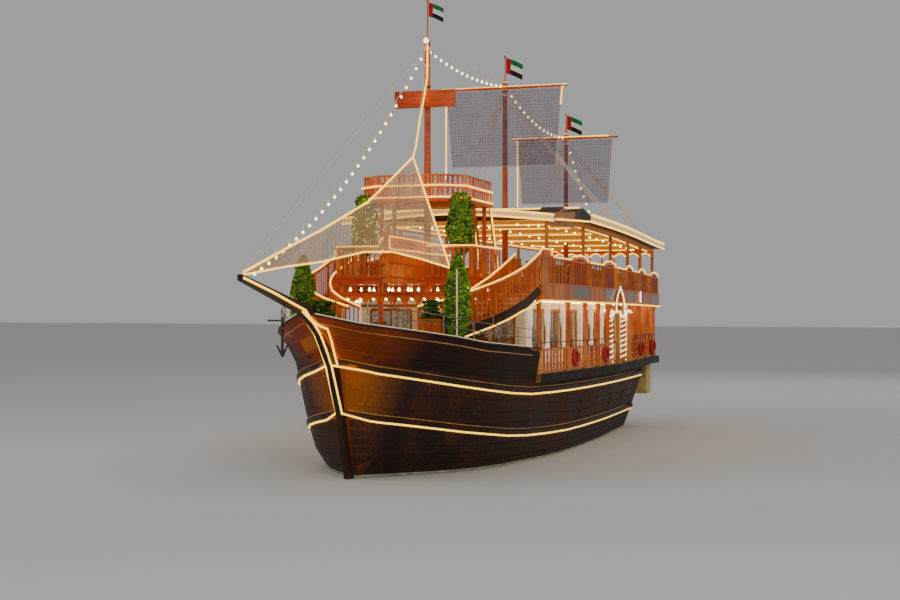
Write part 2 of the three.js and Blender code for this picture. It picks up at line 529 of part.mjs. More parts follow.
function balconyFront() {
  const outline = (d) => SMALL_BOW.map(([x, s], i) => [Math.max(0.01, x - d), s + (i === SMALL_BOW.length - 1 ? 2.5 * d : 0)]);
  const closed = (d) => [...outline(d), ...outline(d).reverse().map(([x, s]) => [-x, s])];
  const shell = cut(slab(closed(0), BALCONY_UNDER, 8.0), slab(closed(0.06), BALCONY_UNDER + 0.15, 9),
    plate([[2, 7.95], [4.5, 7.6], [4.5, 9], [2, 9]], -2, 2));
  const finial = join(plate([[2.6, 7.2], [2.62, 7.9], [2.75, 8.15], [2.95, 8.1], [2.98, 7.6], [3.1, 6.4], [2.9, 6.2]],
    -0.05, 0.05));
  const rails = SIDES.flatMap((side) => {
    const x = (v) => side * v, s = BALCONY_FRONT + 0.05, z0 = BALCONY + GAP;
    const line = [[x(0.7), s], [x(2.5), s], [x(2.5), BREAK - 0.05]];
    const parts = [];
    for (let i = 0; i < 2; i++)
      for (const [z, high] of [[7.42, 0.07], [6.47, 0.05]])
        parts.push(beam([...line[i], z], [...line[i + 1], z], 0.07, high));
    for (let v = 1.0; v < 2.4; v += 0.3) parts.push(upright(x(v), s, z0, 7.4, 0.025, 0.025, 4));
    for (let v = 4.6; v < 6.95; v += 0.4) parts.push(upright(x(2.5), v, z0, 7.4, 0.025, 0.025, 4));
    parts.push(upright(x(2.5), s, z0, 7.5, 0.05, 0.05, 8));
    return parts;
  });
  const tie = SIDES.map((side) => beam([side * 0.77, BALCONY_FRONT - 0.03, 7.0],
    [side * 0.77, BALCONY_FRONT + 0.08, 7.0], 0.1, 0.9));
  return join(shell, finial, ...tie, ...rails);
}

// Stepped landing in the middle of the foredeck, from which the two stairs curve outboard and up
const LANDING = { half: 1.25, rise: 0.14, tread: 0.3, front: 1.25, end: 3.65, top: 4.4 };

function stairLanding() {
  const { half, rise, tread, front, end, top } = LANDING, outline = [[end, FOREDECK + GAP], [front, FOREDECK + GAP]];
  for (let i = 1; i <= 3; i++)
    outline.push([front + tread * (i - 1), FOREDECK + rise * i], [front + tread * i, FOREDECK + rise * i]);
  return plate([...outline, [front + 3 * tread, top], [end, top]], -half, half);
}

// Outer and inner edge of the stairs as [x, s], with the height of the tread there
const STAIRS = {
  outer: [[1.2, 2.4], [2.3, 2.75], [3.0, 3.05], [3.5, 3.55], [3.75, 4.1], [3.85, 4.8], [3.9, 5.6], [3.92, 6.3],
    [3.93, 7.04]],
  inner: [[1.2, 3.31], [2.05, 3.6], [2.55, 3.85], [2.8, 4.2], [2.95, 4.6], [3.02, 5.0], [3.05, 5.6], [3.05, 6.3],
    [3.05, 7.04]],
  height: [4.4, 4.69, 4.96, 5.2, 5.39, 5.57, 5.77, 6.0, 6.25],
  treads: 10, thick: 0.04, stringer: 0.4, handrail: 1.0,
};

// Point of one edge of the stairs, `t` in rows of the table and `up` above the treads
function onStairs(side, edge, t, up = 0) {
  const value = (pick) => at(STAIRS.height.map((z, i) => [i, pick(i, z)]), t);
  return [side * value((i) => STAIRS[edge][i][0]), value((i) => STAIRS[edge][i][1]), value((i, z) => z) + up];
}

const stairLine = (side, edge, up) => STAIRS.height.map((_, i) => onStairs(side, edge, i, up));
const stringer = (side, edge) => rail(stairLine(side, edge, -STAIRS.stringer / 2), 0.06, STAIRS.stringer);
const stairwell = () => [box(-9, 9, -5, 15, 0, FOREDECK + GAP), box(-9, 9, BREAK - GAP, 15, 0, 12),
  box(-LANDING.half - GAP, LANDING.half + GAP, 0, 5, 0, 8)];

function stairs(side) {
  const parts = ['outer', 'inner'].map((edge) => stringer(side, edge)), rows = STAIRS.height.length - 1;
  for (let i = 0; i < STAIRS.treads; i++) {
    const [t0, t1] = [i, i + 1].map((k) => (rows * k) / STAIRS.treads), top = onStairs(side, 'outer', t0)[2] - 0.01;
    const corners = [['outer', t0], ['outer', t1], ['inner', t1], ['inner', t0]];
    parts.push(slab(corners.map(([edge, t]) => onStairs(side, edge, t).slice(0, 2)), top - STAIRS.thick, top));
  }
  return cut(join(...parts), ...stairwell());
}

// Handrail with its slats, standing on one stringer
function stairRail(side, edge, stairsSolid) {
  const parts = [rail(stairLine(side, edge, STAIRS.handrail), 0.07, 0.07)];
  for (let t = 0.15; t < 7.95; t += 0.77) {
    const [x, s, z] = onStairs(side, edge, t);
    parts.push(upright(x, s, z - 0.05, z + STAIRS.handrail, 0.025, 0.025, 4));
  }
  return largest(cut(join(...parts), stairsSolid, stairsSolid.translate(0, 0, GAP), ...stairwell()));
}

// Top balcony round the foremast, on four posts with knees
const TOP_OUTLINE = [[1.2, 4.6], [1.95, 5.1], [2.0, 7.6]];

function topBalcony() {
  const outline = [...TOP_OUTLINE, ...TOP_OUTLINE.toReversed().map(([x, s]) => [-x, s])];
  const floor = cut(slab(outline, TOP_DECK_UNDER, TOP_DECK), mastHole('foremast', 8, 10));
  const posts = SIDES.flatMap((side) => [
    upright(side * 1.75, 6.3, BALCONY + GAP, TOP_DECK_UNDER + 0.05, 0.08, 0.08, 8),
    upright(side * 1.75, 7.4, UPPER + GAP, TOP_DECK_UNDER + 0.05, 0.08, 0.08, 8),
    beam([side * 1.75, 6.3, 8.2], [side * 1.75, 5.5, 9.0], 0.08, 0.14)]);
  return join(floor, ...posts);
}

// Column of leaves, each row [height, radius]
const leafColumn = (x, s, rows) => rows.slice(1).map(([z, r], i) => upright(x, s, rows[i][0], z, rows[i][1], r, 8));

// Bunch of leaves that hangs from a fore corner of the top balcony
const GARLAND = [[7.45, 0.25], [8.0, 0.42], [8.6, 0.32], [TOP_DECK_UNDER - GAP, 0.26]];
const garland = (side) => join(...leafColumn(side * 1.79, 4.97, GARLAND));

// Slender tree in a pot on the foredeck
const TREE = { x: 2.8, s: 2.1, pot: 0.28, rim: 4.35, leaves: [[4.45, 0.16], [5.2, 0.36], [6.2, 0.33], [6.95, 0.12]] };

function pottedTree(side) {
  const { s, pot, rim, leaves } = TREE, x = side * TREE.x;
  return join(upright(x, s, FOREDECK + GAP, rim, pot * 0.7, pot, 12), upright(x, s, rim - 0.05, 4.6, 0.05, 0.05, 8),
    ...leafColumn(x, s, leaves));
}

function topFence() {
  const line = [[-0.9, 7.55], [-1.94, 7.55], [-1.9, 5.13], [-1.17, 4.65], [1.17, 4.65], [1.9, 5.13], [1.94, 7.55]];
  const parts = [TOP_FENCE - 0.03, 9.5].map((z) => rail(line.map((p) => [...p, z]), 0.06, 0.06));
  for (let i = 1; i < line.length; i++) {
    const [p, q] = [line[i - 1], line[i]], long = Math.hypot(q[0] - p[0], q[1] - p[1]);
    const n = Math.ceil(long / 0.85);
    for (let k = i > 1 ? 1 : 0; k <= n; k++)
      parts.push(upright(p[0] + ((q[0] - p[0]) * k) / n, p[1] + ((q[1] - p[1]) * k) / n, TOP_DECK + GAP,
        TOP_FENCE - 0.02, 0.025, 0.025, 4));
  }
  return join(...parts);
}

// Ladder from the upper deck to the after edge of the top balcony
function ladder() {
  const foot = [8.8, UPPER + GAP], head = [7.66, TOP_DECK + 0.3], parts = [];
  for (const x of [1.2, 1.8]) parts.push(plate([[foot[0] - 0.06, foot[1]], [foot[0] + 0.08, foot[1]],
    [head[0] + 0.1, head[1]], [head[0] - 0.04, head[1]]], x - 0.025, x + 0.025));
  for (let i = 1; i <= 10; i++) {
    const t = i / 11, s = foot[0] + (head[0] - foot[0]) * t + 0.02, z = foot[1] + (head[1] - foot[1]) * t;
    parts.push(box(1.19, 1.81, s - 0.07, s + 0.07, z - 0.015, z + 0.015));
  }
  return join(...parts);
}

const ROOF_FRONT = 8.1, ROOF_END = 28.3;
const FORE_ROOF = { end: 12.4, ridge: [11.5, 9.3], front: [8.0, 8.84], under: 8.6 };

// Underside of the canopy, unraked: its fore part slopes down to the front
const roofUnder = (s) => at([[FORE_ROOF.front[0], FORE_ROOF.under], [FORE_ROOF.end, ROOF_UNDER]], s);

// Canopy over the upper deck, its fore part rising to a ridge, with a small gable on each side
function roof() {
  const { end, ridge, front, under } = FORE_ROOF;
  const profile = [[front[0], under], [end, ROOF_UNDER], [end, ROOF_TOP], ridge, front];
  const fore = slab(deckOutline(ROOF_FRONT, end, 0.15), 8, 10).intersect(plate(profile, -6, 6));
  const gables = [[-4.13, -3.3], [3.3, 4.13]].map(([x0, x1]) => plate([[8.4, 8.75], [10.3, 8.8], [9.2, 9.15]], x0, x1));
  return cut(join(fore, slab(deckOutline(end - 0.1, ROOF_END, 0.15), ROOF_UNDER, ROOF_TOP), ...gables),
    mastHole('main_mast', 8, 10), mastHole('mizzen_mast', 8, 10));
}

const ROOF_POSTS = [8.3, 12.7, 17.1, 20.85, 24.2, 27.6];

function roofPosts(side) {
  const x = (s) => side * (at(DECK_HALF, s) - 0.22);
  const posts = ROOF_POSTS.map((s) => upright(x(s), s, UPPER + GAP, roofUnder(s) - 0.1, 0.07, 0.07, 8));
  const header = [ROOF_POSTS[0], FORE_ROOF.end, ...ROOF_POSTS.slice(1)];
  return join(...posts, rail(header.map((s) => [x(s), s, roofUnder(s) - 0.1 - 2 * GAP]), 0.12, 0.2));
}

// Masts and what hangs on them
const COLLAR = { radius: 0.125, run: 0.0008, high: 0.12 };

function mast({ s, foot, head, z0, z1, pole, yard: z }) {
  const collar = z ? [upright(0, s, z - COLLAR.high, z + COLLAR.high, COLLAR.radius, COLLAR.radius, 32)] : [];
  return join(upright(0, s, z0 + GAP, z1, foot, head, 16), upright(0, s, z1 - 0.1, pole, 0.035, 0.02, 8), ...collar);
}

const mastRadius = ({ foot, head, z0, z1 }, z) => foot + ((head - foot) * (z - z0)) / (z1 - z0);

const ring = (m, z, high, clear, thick) => cut(
  upright(0, m.s, z - high / 2, z + high / 2, mastRadius(m, z) + thick, mastRadius(m, z) + thick, 16),
  upright(0, m.s, z - high, z + high, mastRadius(m, z - high / 2) + clear, mastRadius(m, z - high / 2) + clear, 16));

const YARDS = {
  main: { mast: MASTS.main_mast, z: MASTS.main_mast.yard, half: 2.65, net: [11.0, 2.45, 2.2] },
  mizzen: { mast: MASTS.mizzen_mast, z: MASTS.mizzen_mast.yard, half: 2.45, net: [9.95, 2.2, 2.0] },
};

const yardStation = ({ mast: m }) => m.s - COLLAR.radius - 0.08;

function yard(y) {
  const s = yardStation(y);
  return join(rod([0, s, y.z], [y.half, s, y.z], 0.055, 0.035), rod([-y.half, s, y.z], [0, s, y.z], 0.035, 0.055),
    cut(upright(0, y.mast.s, y.z - 0.05, y.z + 0.05, COLLAR.radius + 0.04, COLLAR.radius + 0.04, 32),
      upright(0, y.mast.s, y.z - 1, y.z + 1, COLLAR.radius + COLLAR.run, COLLAR.radius + COLLAR.run, 32)));
}

const rope = (p, q) => rod(p, q, 0.015, 0.015, 5);

// Light net below a yard
function yardNet(y) {
  const s = yardStation(y), [low, top, bottom] = y.net, z = y.z - 0.055 - GAP;
  return plate([[-top, z], [-bottom, low], [bottom, low], [top, z]], s - 0.006, s + 0.006, false);
}

// Three-cornered light net between the prow, the foremast and the balcony: its luff and its foot both curve
const JIB = {
  luff: [[0, -7.2, 6.48], [0.09, -3.85, 7.46], [0.12, -2.6, 7.8], [0.21, 0.85, 8.9], [0.26, 2.9, 9.9], [0.28, 3.6, 10.25],
    [0.3, 4.3, 10.6]],
  foot: [[0, -7.22, 6.41], [-0.3, -4, 6.7], [-0.64, -1, 6.9], [-0.4, 1.8, 7.29], [0.48, 2.2, 7.29], [1.21, 2.8, 7.07],
    [1.83, 3.9, 6.78]],
  half: 0.008, halyard: 14.0, head: [0.3, 4.27, 10.56],
};

function jibNet() {
  const { luff, foot, half, halyard, head } = JIB, m = MASTS.foremast, [x0, s0, z0] = head;
  return join(sheet(luff, foot, half), ring(m, halyard, 0.08, GAP, 0.05), box(x0 - 0.04, x0 + 0.04, s0 - 0.05, s0 + 0.05, z0 - 0.08, z0 + 0.07),
    rope(head, [0, m.s - mastRadius(m, halyard) - 0.03, halyard]));
}

// Blank sign on the foremast
function signBoard() {
  const m = MASTS.foremast, s = m.s - 0.2;
  return join(ring(m, 12.8, 0.1, GAP, 0.06), box(-1.15, 1.15, s - 0.08, s + 0.04, 12.5, 13.1),
    box(-0.1, 0.1, s, m.s - 0.14, 12.75, 12.85));
}

// Forestay, stays between the mastheads and backstay
function stays() {
  const heads = [['foremast', 14.6], ['main_mast', 14.38], ['mizzen_mast', 13.05]].map(([name, z]) =>
    ({ m: MASTS[name], z, r: mastRadius(MASTS[name], z) + 0.03 }));
  const fore = (h) => [0, h.m.s - h.r, h.z], aft = (h) => [0, h.m.s + h.r, h.z];
  const [f, m, z] = heads;
  return join(...heads.map((h) => ring(h.m, h.z, 0.08, GAP, 0.05)),
    rope([0, -7.3, 6.48], fore(f)), rope(aft(f), fore(m)), rope(aft(m), fore(z)),
    rope(aft(z), [0, 28.1, rakedZ(28.1, ROOF_TOP) + 0.03]));
}

// Shrouds of one mast down to the edges of the canopy
function shrouds(m, z, feet) {
  return join(ring(m, z, 0.08, GAP, 0.05), ...SIDES.flatMap((side) => feet.map((s) =>
    rope([side * (mastRadius(m, z) + 0.02), m.s, z], [side * (at(DECK_HALF, s) - 0.05), s, rakedZ(s, ROOF_TOP) + 0.018]))));
}

// Helm on the upper deck, under the top balcony
const HELM = { s: 7.55, wheel: 7.8, z: 7.3, radius: 0.38 };

const helm = () => join(upright(0, HELM.s, UPPER + GAP, HELM.z + 0.1, 0.16, 0.12, 12),
  rod([0, HELM.s, HELM.z], [0, HELM.wheel - 0.04 - GAP, HELM.z], 0.03));

function shipWheel() {
  const g = new THREE.TorusGeometry(HELM.radius, 0.03, 5, 16).rotateX(Math.PI / 2)
    .translate(0, HELM.wheel, HELM.z);
  const parts = [solid(g), rod([0, HELM.wheel - 0.04, HELM.z], [0, HELM.wheel + 0.05, HELM.z], 0.07)];
  for (let i = 0; i < 6; i++) {
    const a = (i * Math.PI) / 3;
    parts.push(rod([0, HELM.wheel, HELM.z],
      [0.52 * Math.cos(a), HELM.wheel, HELM.z + 0.52 * Math.sin(a)], 0.022, 0.018, 6));
  }
  return join(...parts);
}

// Windlass on the foredeck
const WINDLASS = { s: 0.55, z: 4.32 };

function windlass() {
  const { s, z } = WINDLASS;
  const cheeks = SIDES.map((side) => beam([side * 0.45, s - 0.2, z - 0.12], [side * 0.45, s + 0.2, z - 0.12], 0.07, 0.6));
  return cut(join(box(-0.55, 0.55, s - 0.28, s + 0.28, FOREDECK + GAP, FOREDECK + 0.1), ...cheeks),
    rod([-1, s, z], [1, s, z], 0.0405, 0.0405, 32));
}

function windlassDrum() {
  const { s, z } = WINDLASS;
  return join(rod([-0.75, s, z], [0.75, s, z], 0.04, 0.04, 32), rod([-0.4, s, z], [0.4, s, z], 0.13, 0.13, 12),
    rod([-0.72, s, z], [-0.5, s, z], 0.1, 0.08, 12), rod([0.5, s, z], [0.72, s, z], 0.08, 0.1, 12));
}

// Anchor hung over the starboard bow, its stock lying on the cap rail
function anchor(railsSolid) {
  const s = -2.4, x = -1.25, z = capTop(s) + 0.02;
  const whole = join(rod([-1.75, s, z], [-0.72, s, z], 0.03), rod([x, s, z + 0.1], [x, s, z - 1.1], 0.04, 0.05),
    rod([x, s, z - 1.1], [x, s - 0.38, z - 0.75], 0.045, 0.02), rod([x, s, z - 1.1], [x, s + 0.38, z - 0.75], 0.045, 0.02));
  return largest(cut(whole, railsSolid.translate(0, 0, GAP), railsSolid.translate(GAP, -GAP, GAP)));
}

// Machinery
const onShaft = (s) => [0, s, shaftHeight(s)];
const engine = () => join(box(-0.55, 0.55, 15.9, SHAFT.front - 0.1, ENGINE_ROOM.z0 + GAP, 0.75),
  rod(onShaft(SHAFT.front - 0.4), onShaft(SHAFT.front), 0.11, 0.11, 12));

function propeller() {
  const at0 = [0, SHAFT.propeller, SHAFT.z];
  const parts = [rod(onShaft(SHAFT.front + GAP), onShaft(24.3), SHAFT.radius, SHAFT.radius, 12),
    rod(onShaft(24.0), onShaft(24.34), 0.13, 0.1, 12)];
  for (let i = 0; i < 4; i++)
    parts.push(solid(new THREE.BoxGeometry(0.36, 0.03, 0.46).rotateZ(0.6).translate(0, 0, 0.29)
      .rotateY((i * Math.PI) / 2).rotateX(-Math.atan(0.13)).translate(...at0)));
  return join(...parts);
}

const RUDDER = { s: 25.16, pins: [-1.7, 0.1, 1.8] };

const gudgeons = () => RUDDER.pins.map((z) => cut(box(-0.1, 0.1, 25.0, 25.26, z - 0.06, z + 0.06),
  upright(0, RUDDER.s, z - 1, z + 1, 0.0605, 0.0605, 32)));

function rudder() {
  const blade = plate([[25.16, -1.9], [26.2, -1.9], [26.4, -1.2], [26.3, 0.2], [25.75, 1.2], [25.6, 2.35],
    [25.16, 2.35]], -0.05, 0.05);
  const notches = RUDDER.pins.map((z) => box(-0.3, 0.3, 25.0, 25.34, z - 0.08, z + 0.08));
  return join(cut(blade, ...notches), upright(0, RUDDER.s, -1.92, 2.6, 0.06, 0.06, 32));
}

// Knees and quarter boxes under the overhanging stern
function sternGallery() {
  const z1 = DECK_UNDER - GAP;
  return join(box(-2.1, 2.1, 26.85, 27.05, 2.62, z1), ...SIDES.flatMap((side) => [
    side > 0 ? box(1.95, 2.5, 26.6, 27.4, 1.4, z1) : box(-2.5, -1.95, 26.6, 27.4, 1.4, z1),
    plate([[TRANSOM + GAP, 1.3], [TRANSOM + GAP, z1], [27.3, z1], [27.3, 2.66]], side * 1.25 - 0.06, side * 1.25 + 0.06)]));
}

const part = new THREE.Group();
part.name = 'dhow';

// Adds a solid to the part, in millimetres, with its upper vertices raked where `raked` is true
function add(name, made, look, raked = false) {
  const { vertProperties, triVerts } = made.getMesh();
  const positions = [];
  for (let i = 0; i < vertProperties.length; i += 3) {
    const [x, s, z] = vertProperties.slice(i, i + 3);
    positions.push(x * 1000, (s - ORIGIN_STATION) * 1000, (raked ? rakedZ(s, z) : z) * 1000);
  }
  const g = new THREE.BufferGeometry();
  g.setAttribute('position', new THREE.Float32BufferAttribute(positions, 3));
  g.setIndex([...triVerts]);
  const flat = g.toNonIndexed();
  flat.computeVertexNormals();
  const mesh = new THREE.Mesh(flat, new THREE.MeshStandardMaterial(look));
  mesh.name = name;
  part.add(mesh);
}

const hullSolid = join(hull(), ...gudgeons());
add('hull', hullSolid, WOOD);
const railsSolid = stemAndRails(hullSolid);
add('stem_and_rails', railsSolid, DARK_WOOD);
add('main_deck', mainDeck(), WOOD);
add('engine_hatch', hatch(), WOOD);
add('saloon', saloon(), CREAM, true);
add('saloon_glass', saloonGlass(), GLASS, true);
add('aft_door', aftDoor(), RED_WOOD, true);
for (const [name, side] of [['port', 1], ['starboard', -1]]) {
  add(`guard_rail_${name}`, guardRail(side, railsSolid), STEEL);
  add(`saloon_door_${name}`, saloonDoor(side), RED_WOOD, true);
  add(`arcade_${name}`, arcade(side), RED_WOOD, true);
  add(`portal_${name}`, portal(side), WOOD, true);
  add(`screen_${name}`, screen(side), RED_WOOD, true);
  const stairsSolid = stairs(side);
  add(`stairs_${name}`, stairsSolid, RED_WOOD);
  add(`stair_rail_outer_${name}`, stairRail(side, 'outer', stairsSolid), RED_WOOD);
  add(`stair_rail_inner_${name}`, stairRail(side, 'inner', stairsSolid), RED_WOOD);
  add(`garland_${name}`, garland(side), LEAVES, true);
  add(`potted_tree_${name}`, pottedTree(side), LEAVES);
  add(`roof_posts_${name}`, roofPosts(side), WOOD, true);
}
add('stair_landing', stairLanding(), WOOD);
add('upper_deck', upperDeck(), WOOD, true);
add('stern_screen', sternScreen(), RED_WOOD, true);
add('balcony', balcony(), RED_WOOD, true);
add('balcony_front', balconyFront(), RED_WOOD, true);
add('top_balcony', topBalcony(), RED_WOOD, true);
add('top_fence', topFence(), RED_WOOD, true);
add('ladder', ladder(), WOOD, true);
add('roof', roof(), DARK_WOOD, true);
for (const [name, row] of Object.entries(MASTS)) add(name, mast(row), WOOD);
for (const [name, row] of Object.entries(YARDS)) {
  add(`${name}_yard`, yard(row), WOOD);
  add(`${name}_net`, yardNet(row), NET);
}
add('jib_net', jibNet(), NET);
add('sign_board', signBoard(), CREAM);
add('stays', stays(), ROPE);
add('main_shrouds', shrouds(MASTS.main_mast, 13.85, [16.6, 18.2]), ROPE);
add('mizzen_shrouds', shrouds(MASTS.mizzen_mast, 12.6, [24.4, 25.8]), ROPE);
add('helm', helm(), RED_WOOD, true);
add('ship_wheel', shipWheel(), BRASS, true);
add('windlass', windlass(), IRON);
add('windlass_drum', windlassDrum(), IRON);
add('anchor', anchor(railsSolid), IRON);
add('engine', engine(), IRON);
add('propeller', propeller(), BRASS);
add('rudder', rudder(), DARK_WOOD);
add('stern_gallery', sternGallery(), CREAM);

export default part;
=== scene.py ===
"""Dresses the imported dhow: planking, light ropes, nets, turned balusters, curtains, flags and garlands.

Metres, bow towards -Y, port towards +X, z = 0 at the water.
A station s is counted aft of the stem at the water.
"""
import math
import random

import bpy
from mathutils import Matrix, Vector


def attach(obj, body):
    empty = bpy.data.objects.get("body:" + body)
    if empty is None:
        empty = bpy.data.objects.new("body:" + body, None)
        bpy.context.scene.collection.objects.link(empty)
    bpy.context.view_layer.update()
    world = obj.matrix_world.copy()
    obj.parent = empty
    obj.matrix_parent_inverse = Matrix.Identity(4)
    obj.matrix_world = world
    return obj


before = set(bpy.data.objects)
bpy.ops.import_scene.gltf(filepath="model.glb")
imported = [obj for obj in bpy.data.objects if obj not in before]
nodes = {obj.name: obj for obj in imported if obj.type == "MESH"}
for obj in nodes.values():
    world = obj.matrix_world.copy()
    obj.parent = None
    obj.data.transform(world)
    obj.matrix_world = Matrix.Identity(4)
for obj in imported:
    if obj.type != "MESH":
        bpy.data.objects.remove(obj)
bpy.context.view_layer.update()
rng = random.Random(7)

# Levels and stations of the frame
ORIGIN_STATION = 10.0
DECK, FOREDECK, UPPER = 3.1, 3.85, 6.25
ROOF_UNDER, ROOF_TOP, TOP_DECK = 8.85, 9.1, 9.17
BREAK, TRANSOM = 7.0, 24.8
SIDES = {"port": 1, "starboard": -1}
BOTH = tuple(SIDES.values())

# Lines of the hull, each as (station or height, value)
STEM_LINE = [(-2.1, 2.6), (-1.5, 1.25), (-0.8, 0.5), (0, 0), (2.03, -0.66), (3.59, -1.1), (4.4, -1.95),
             (5.46, -3.67)]
DECK_HALF = [(-3.4, 0.08), (-3, 0.6), (-2, 1.45), (-1, 2.1), (0, 2.6), (1, 3.0), (2, 3.38), (3, 3.66),
             (5, 3.9), (7.5, 4.0), (10, 4.05), (13, 4.0), (16, 3.88), (19, 3.65), (22, 3.35), (25, 3.0),
             (28, 2.7)]
WATER_HALF = [(0, 0.08), (1, 0.85), (2, 1.65), (3, 2.28), (4.5, 2.88), (6.5, 3.18), (8.4, 3.34),
              (10.5, 3.4), (13.2, 3.27), (17.6, 2.87), (21, 2.4), (24.8, 1.9)]
SHEER = [(-3.7, 5.4), (-3, 5.1), (-2.3, 4.94), (-1.2, 4.77), (1.3, 4.45), (2.5, 4.26), (5.8, 4.02),
         (7, 3.97), (9, 3.5), (12, 3.3), (28, 3.3)]
# How soon the sections widen above the water, by station
FULLNESS = [(0, 0.6), (1, 0.45), (3, 0.4), (5, 0.5), (9, 0.9)]
KEEL_LINE = [(0, -1.3), (3, -1.55), (17, -1.5), (21, -0.95), (24.8, -0.2)]
UPPER_STRAKE = [(-1.2, 3.68), (-0.6, 3.43), (0.5, 3.2), (2, 2.94), (3.5, 2.73), (5.9, 2.48), (9.5, 2.42),
                (25, 2.4)]
LOWER_STRAKE = [(-1.2, 2.2), (-0.2, 1.87), (0.9, 1.68), (2.4, 1.43), (4.7, 1.15), (6.5, 1.02), (10.3, 0.9),
                (25, 0.9)]
# Fractions of the length between the stem and the transom
HULL_STATIONS = [0, 0.02, 0.045, 0.08, 0.12, 0.165, 0.22, 0.29, 0.37, 0.46, 0.55, 0.64, 0.73, 0.82, 0.91, 1]

# Masts: station, height of the top, top of the flag pole
MASTS = {"foremast": (6.33, 14.85, 16.3), "main_mast": (14.43, 14.45, 15.4),
         "mizzen_mast": (22.37, 13.15, 13.9)}
# Yards: station, height, half length, foot of the net, half widths of the net at its head and foot
YARDS = {"main": (14.225, 14.12, 2.65, 11.0, 2.45, 2.2), "mizzen": (22.165, 12.82, 2.45, 9.95, 2.2, 2.0)}
# Stations of the portals' columns and of the main deck's, and of the side screens' parts with their kinds
PORTAL = (16.6, 19.3)
COLUMNS = [7.2, 10.35, 12.6, 14.55, 16.1, 20.7, 22.9, 25.1, 27.3]
SCREEN = [(7.15, "plank"), (8.2, "rail"), (10.4, "arch"), (12.7, "rail"), (15.0, "arch"), (17.1, "rail"),
          (19.2, "arch"), (20.85, "rail"), (22.4, "arch"), (24.2, "rail"), (25.8, "arch"), (27.9, "end")]
SCREEN_TOP, SCREEN_ARCH = 7.24, 7.42
# Levels of the light rope, lower moulding, middle and upper moulding of the upper deck's edge
EDGE_ROPE, LOW_MOULDING, EDGE_MIDDLE, TOP_MOULDING = 5.68, 5.77, 6.03, 6.3
CURTAIN_TOP = 5.62
# Where the greenery stands or hangs on each side, as (x, station)
TREE, GARLAND, PLANTER, SMALL_POT = (2.8, 2.1), (1.79, 4.97), (1.95, 2.0), (1.9, 6.5)
# Points (x, station) round one side of the small bow, and round the top balcony
SMALL_BOW = [(0.8, 4.15), (0.66, 3.75), (0.42, 3.35), (0.05, 2.9)]
TOP_EDGE = [(-1.98, 7.6), (-1.95, 5.1), (-1.2, 4.6), (1.2, 4.6), (1.95, 5.1), (1.98, 7.6)]
# The stairs' outer and inner edges as (x, station), and the height of each point
STAIRS = {
    "outer": [(1.2, 2.4), (2.3, 2.75), (3.0, 3.05), (3.5, 3.55), (3.75, 4.1), (3.85, 4.8), (3.9, 5.6),
              (3.92, 6.3), (3.93, 7.04)],
    "inner": [(1.2, 3.31), (2.05, 3.6), (2.55, 3.85), (2.8, 4.2), (2.95, 4.6), (3.02, 5.0), (3.05, 5.6),
              (3.05, 6.3), (3.05, 7.04)],
    "height": [4.4, 4.69, 4.96, 5.2, 5.39, 5.57, 5.77, 6.0, 6.25],
}
# Edges of the three-cornered net as (x, station, height)
JIB = {
    "luff": [(0, -7.2, 6.48), (0.09, -3.85, 7.46), (0.12, -2.6, 7.8), (0.21, 0.85, 8.9), (0.26, 2.9, 9.9),
             (0.28, 3.6, 10.25), (0.3, 4.3, 10.6)],
    "foot": [(0, -7.22, 6.41), (-0.3, -4, 6.7), (-0.64, -1, 6.9), (-0.4, 1.8, 7.29), (0.48, 2.2, 7.29),
             (1.21, 2.8, 7.07), (1.83, 3.9, 6.78)],
}


def at(table, key):
    """Value of a table of (key, value) rows at a key, on straight lines between the rows."""
    if key <= table[0][0]:
        return table[0][1]
    for (a, va), (b, vb) in pairs(table):
        if key <= b:
            return va + (vb - va) * (key - a) / (b - a)
    return table[-1][1]


def raked(s, z):
    """Above the foredeck's level the decks and the roof draw together towards the stern."""
    return z if z <= FOREDECK else FOREDECK + (z - FOREDECK) * (1 - 0.00714 * (s - BREAK))


def point(x, s, z):
    """A point of the frame, x to port, station s and height z."""
    return Vector((x, s - ORIGIN_STATION, z))


def upper(x, s, z):
    """The same for the raked upperworks, z being its height at the break of the deck."""
    return point(x, s, raked(s, z))


def edge(s, out=0.0):
    """Half width of the decks at a station, and `out` more."""
    return at(DECK_HALF, s) + out


def rim(side, s, z, out=0.0):
    """A point of the raked upperworks at the deck's edge, or `out` outboard of it."""
    return upper(side * edge(s, out), s, z)


def steps(a, b, n):
    """n + 1 values from a to b."""
    return [a + (b - a) * i / n for i in range(n + 1)]


def pairs(row):
    """Each item of a row with the next one."""
    return list(zip(row, row[1:]))


def roof_under(s):
    """Height of the canopy's underside, lower in its fore part."""
    return at([(8.0, 8.6), (12.4, ROOF_UNDER)], s)


def roof_top(s):
    """Height of the canopy's top at its edge, highest where the fore part slopes down."""
    return at([(8.0, 8.84), (11.5, 9.3), (12.4, ROOF_TOP)], s)


def station_at(t, z):
    """Station at fraction t of the length, measured from the raking stem at height z."""
    stem = at(STEM_LINE, z)
    return stem + t * (TRANSOM - stem)


def sheer_at(t):
    """Station and height of the sheer at fraction t of the length."""
    s = t * TRANSOM
    for _ in range(12):
        s = station_at(t, at(SHEER, s))
    return s, at(SHEER, s)


def hull_point(side, t, z, out=0.0):
    """A point of the planking at fraction t of the length and height z."""
    water = at(WATER_HALF, t * TRANSOM)
    if z >= 0:
        s, top = sheer_at(t)
        half = water + (at(DECK_HALF, s) - water) * min(1, z / top) ** at(FULLNESS, t * TRANSOM)
    else:
        depth = min(1, z / at(KEEL_LINE, t * TRANSOM))
        half = max(0.08, water * (1 - depth ** 2.2) ** 0.6)
    return point(side * (half + out), station_at(t, z), z)


# Shares of the height between the water and the sheer where the frame's hull has its knuckles
KNUCKLES = [0, 0.15, 0.26, 0.372, 0.46, 0.56, 0.657, 0.74, 0.806, 0.9, 1]


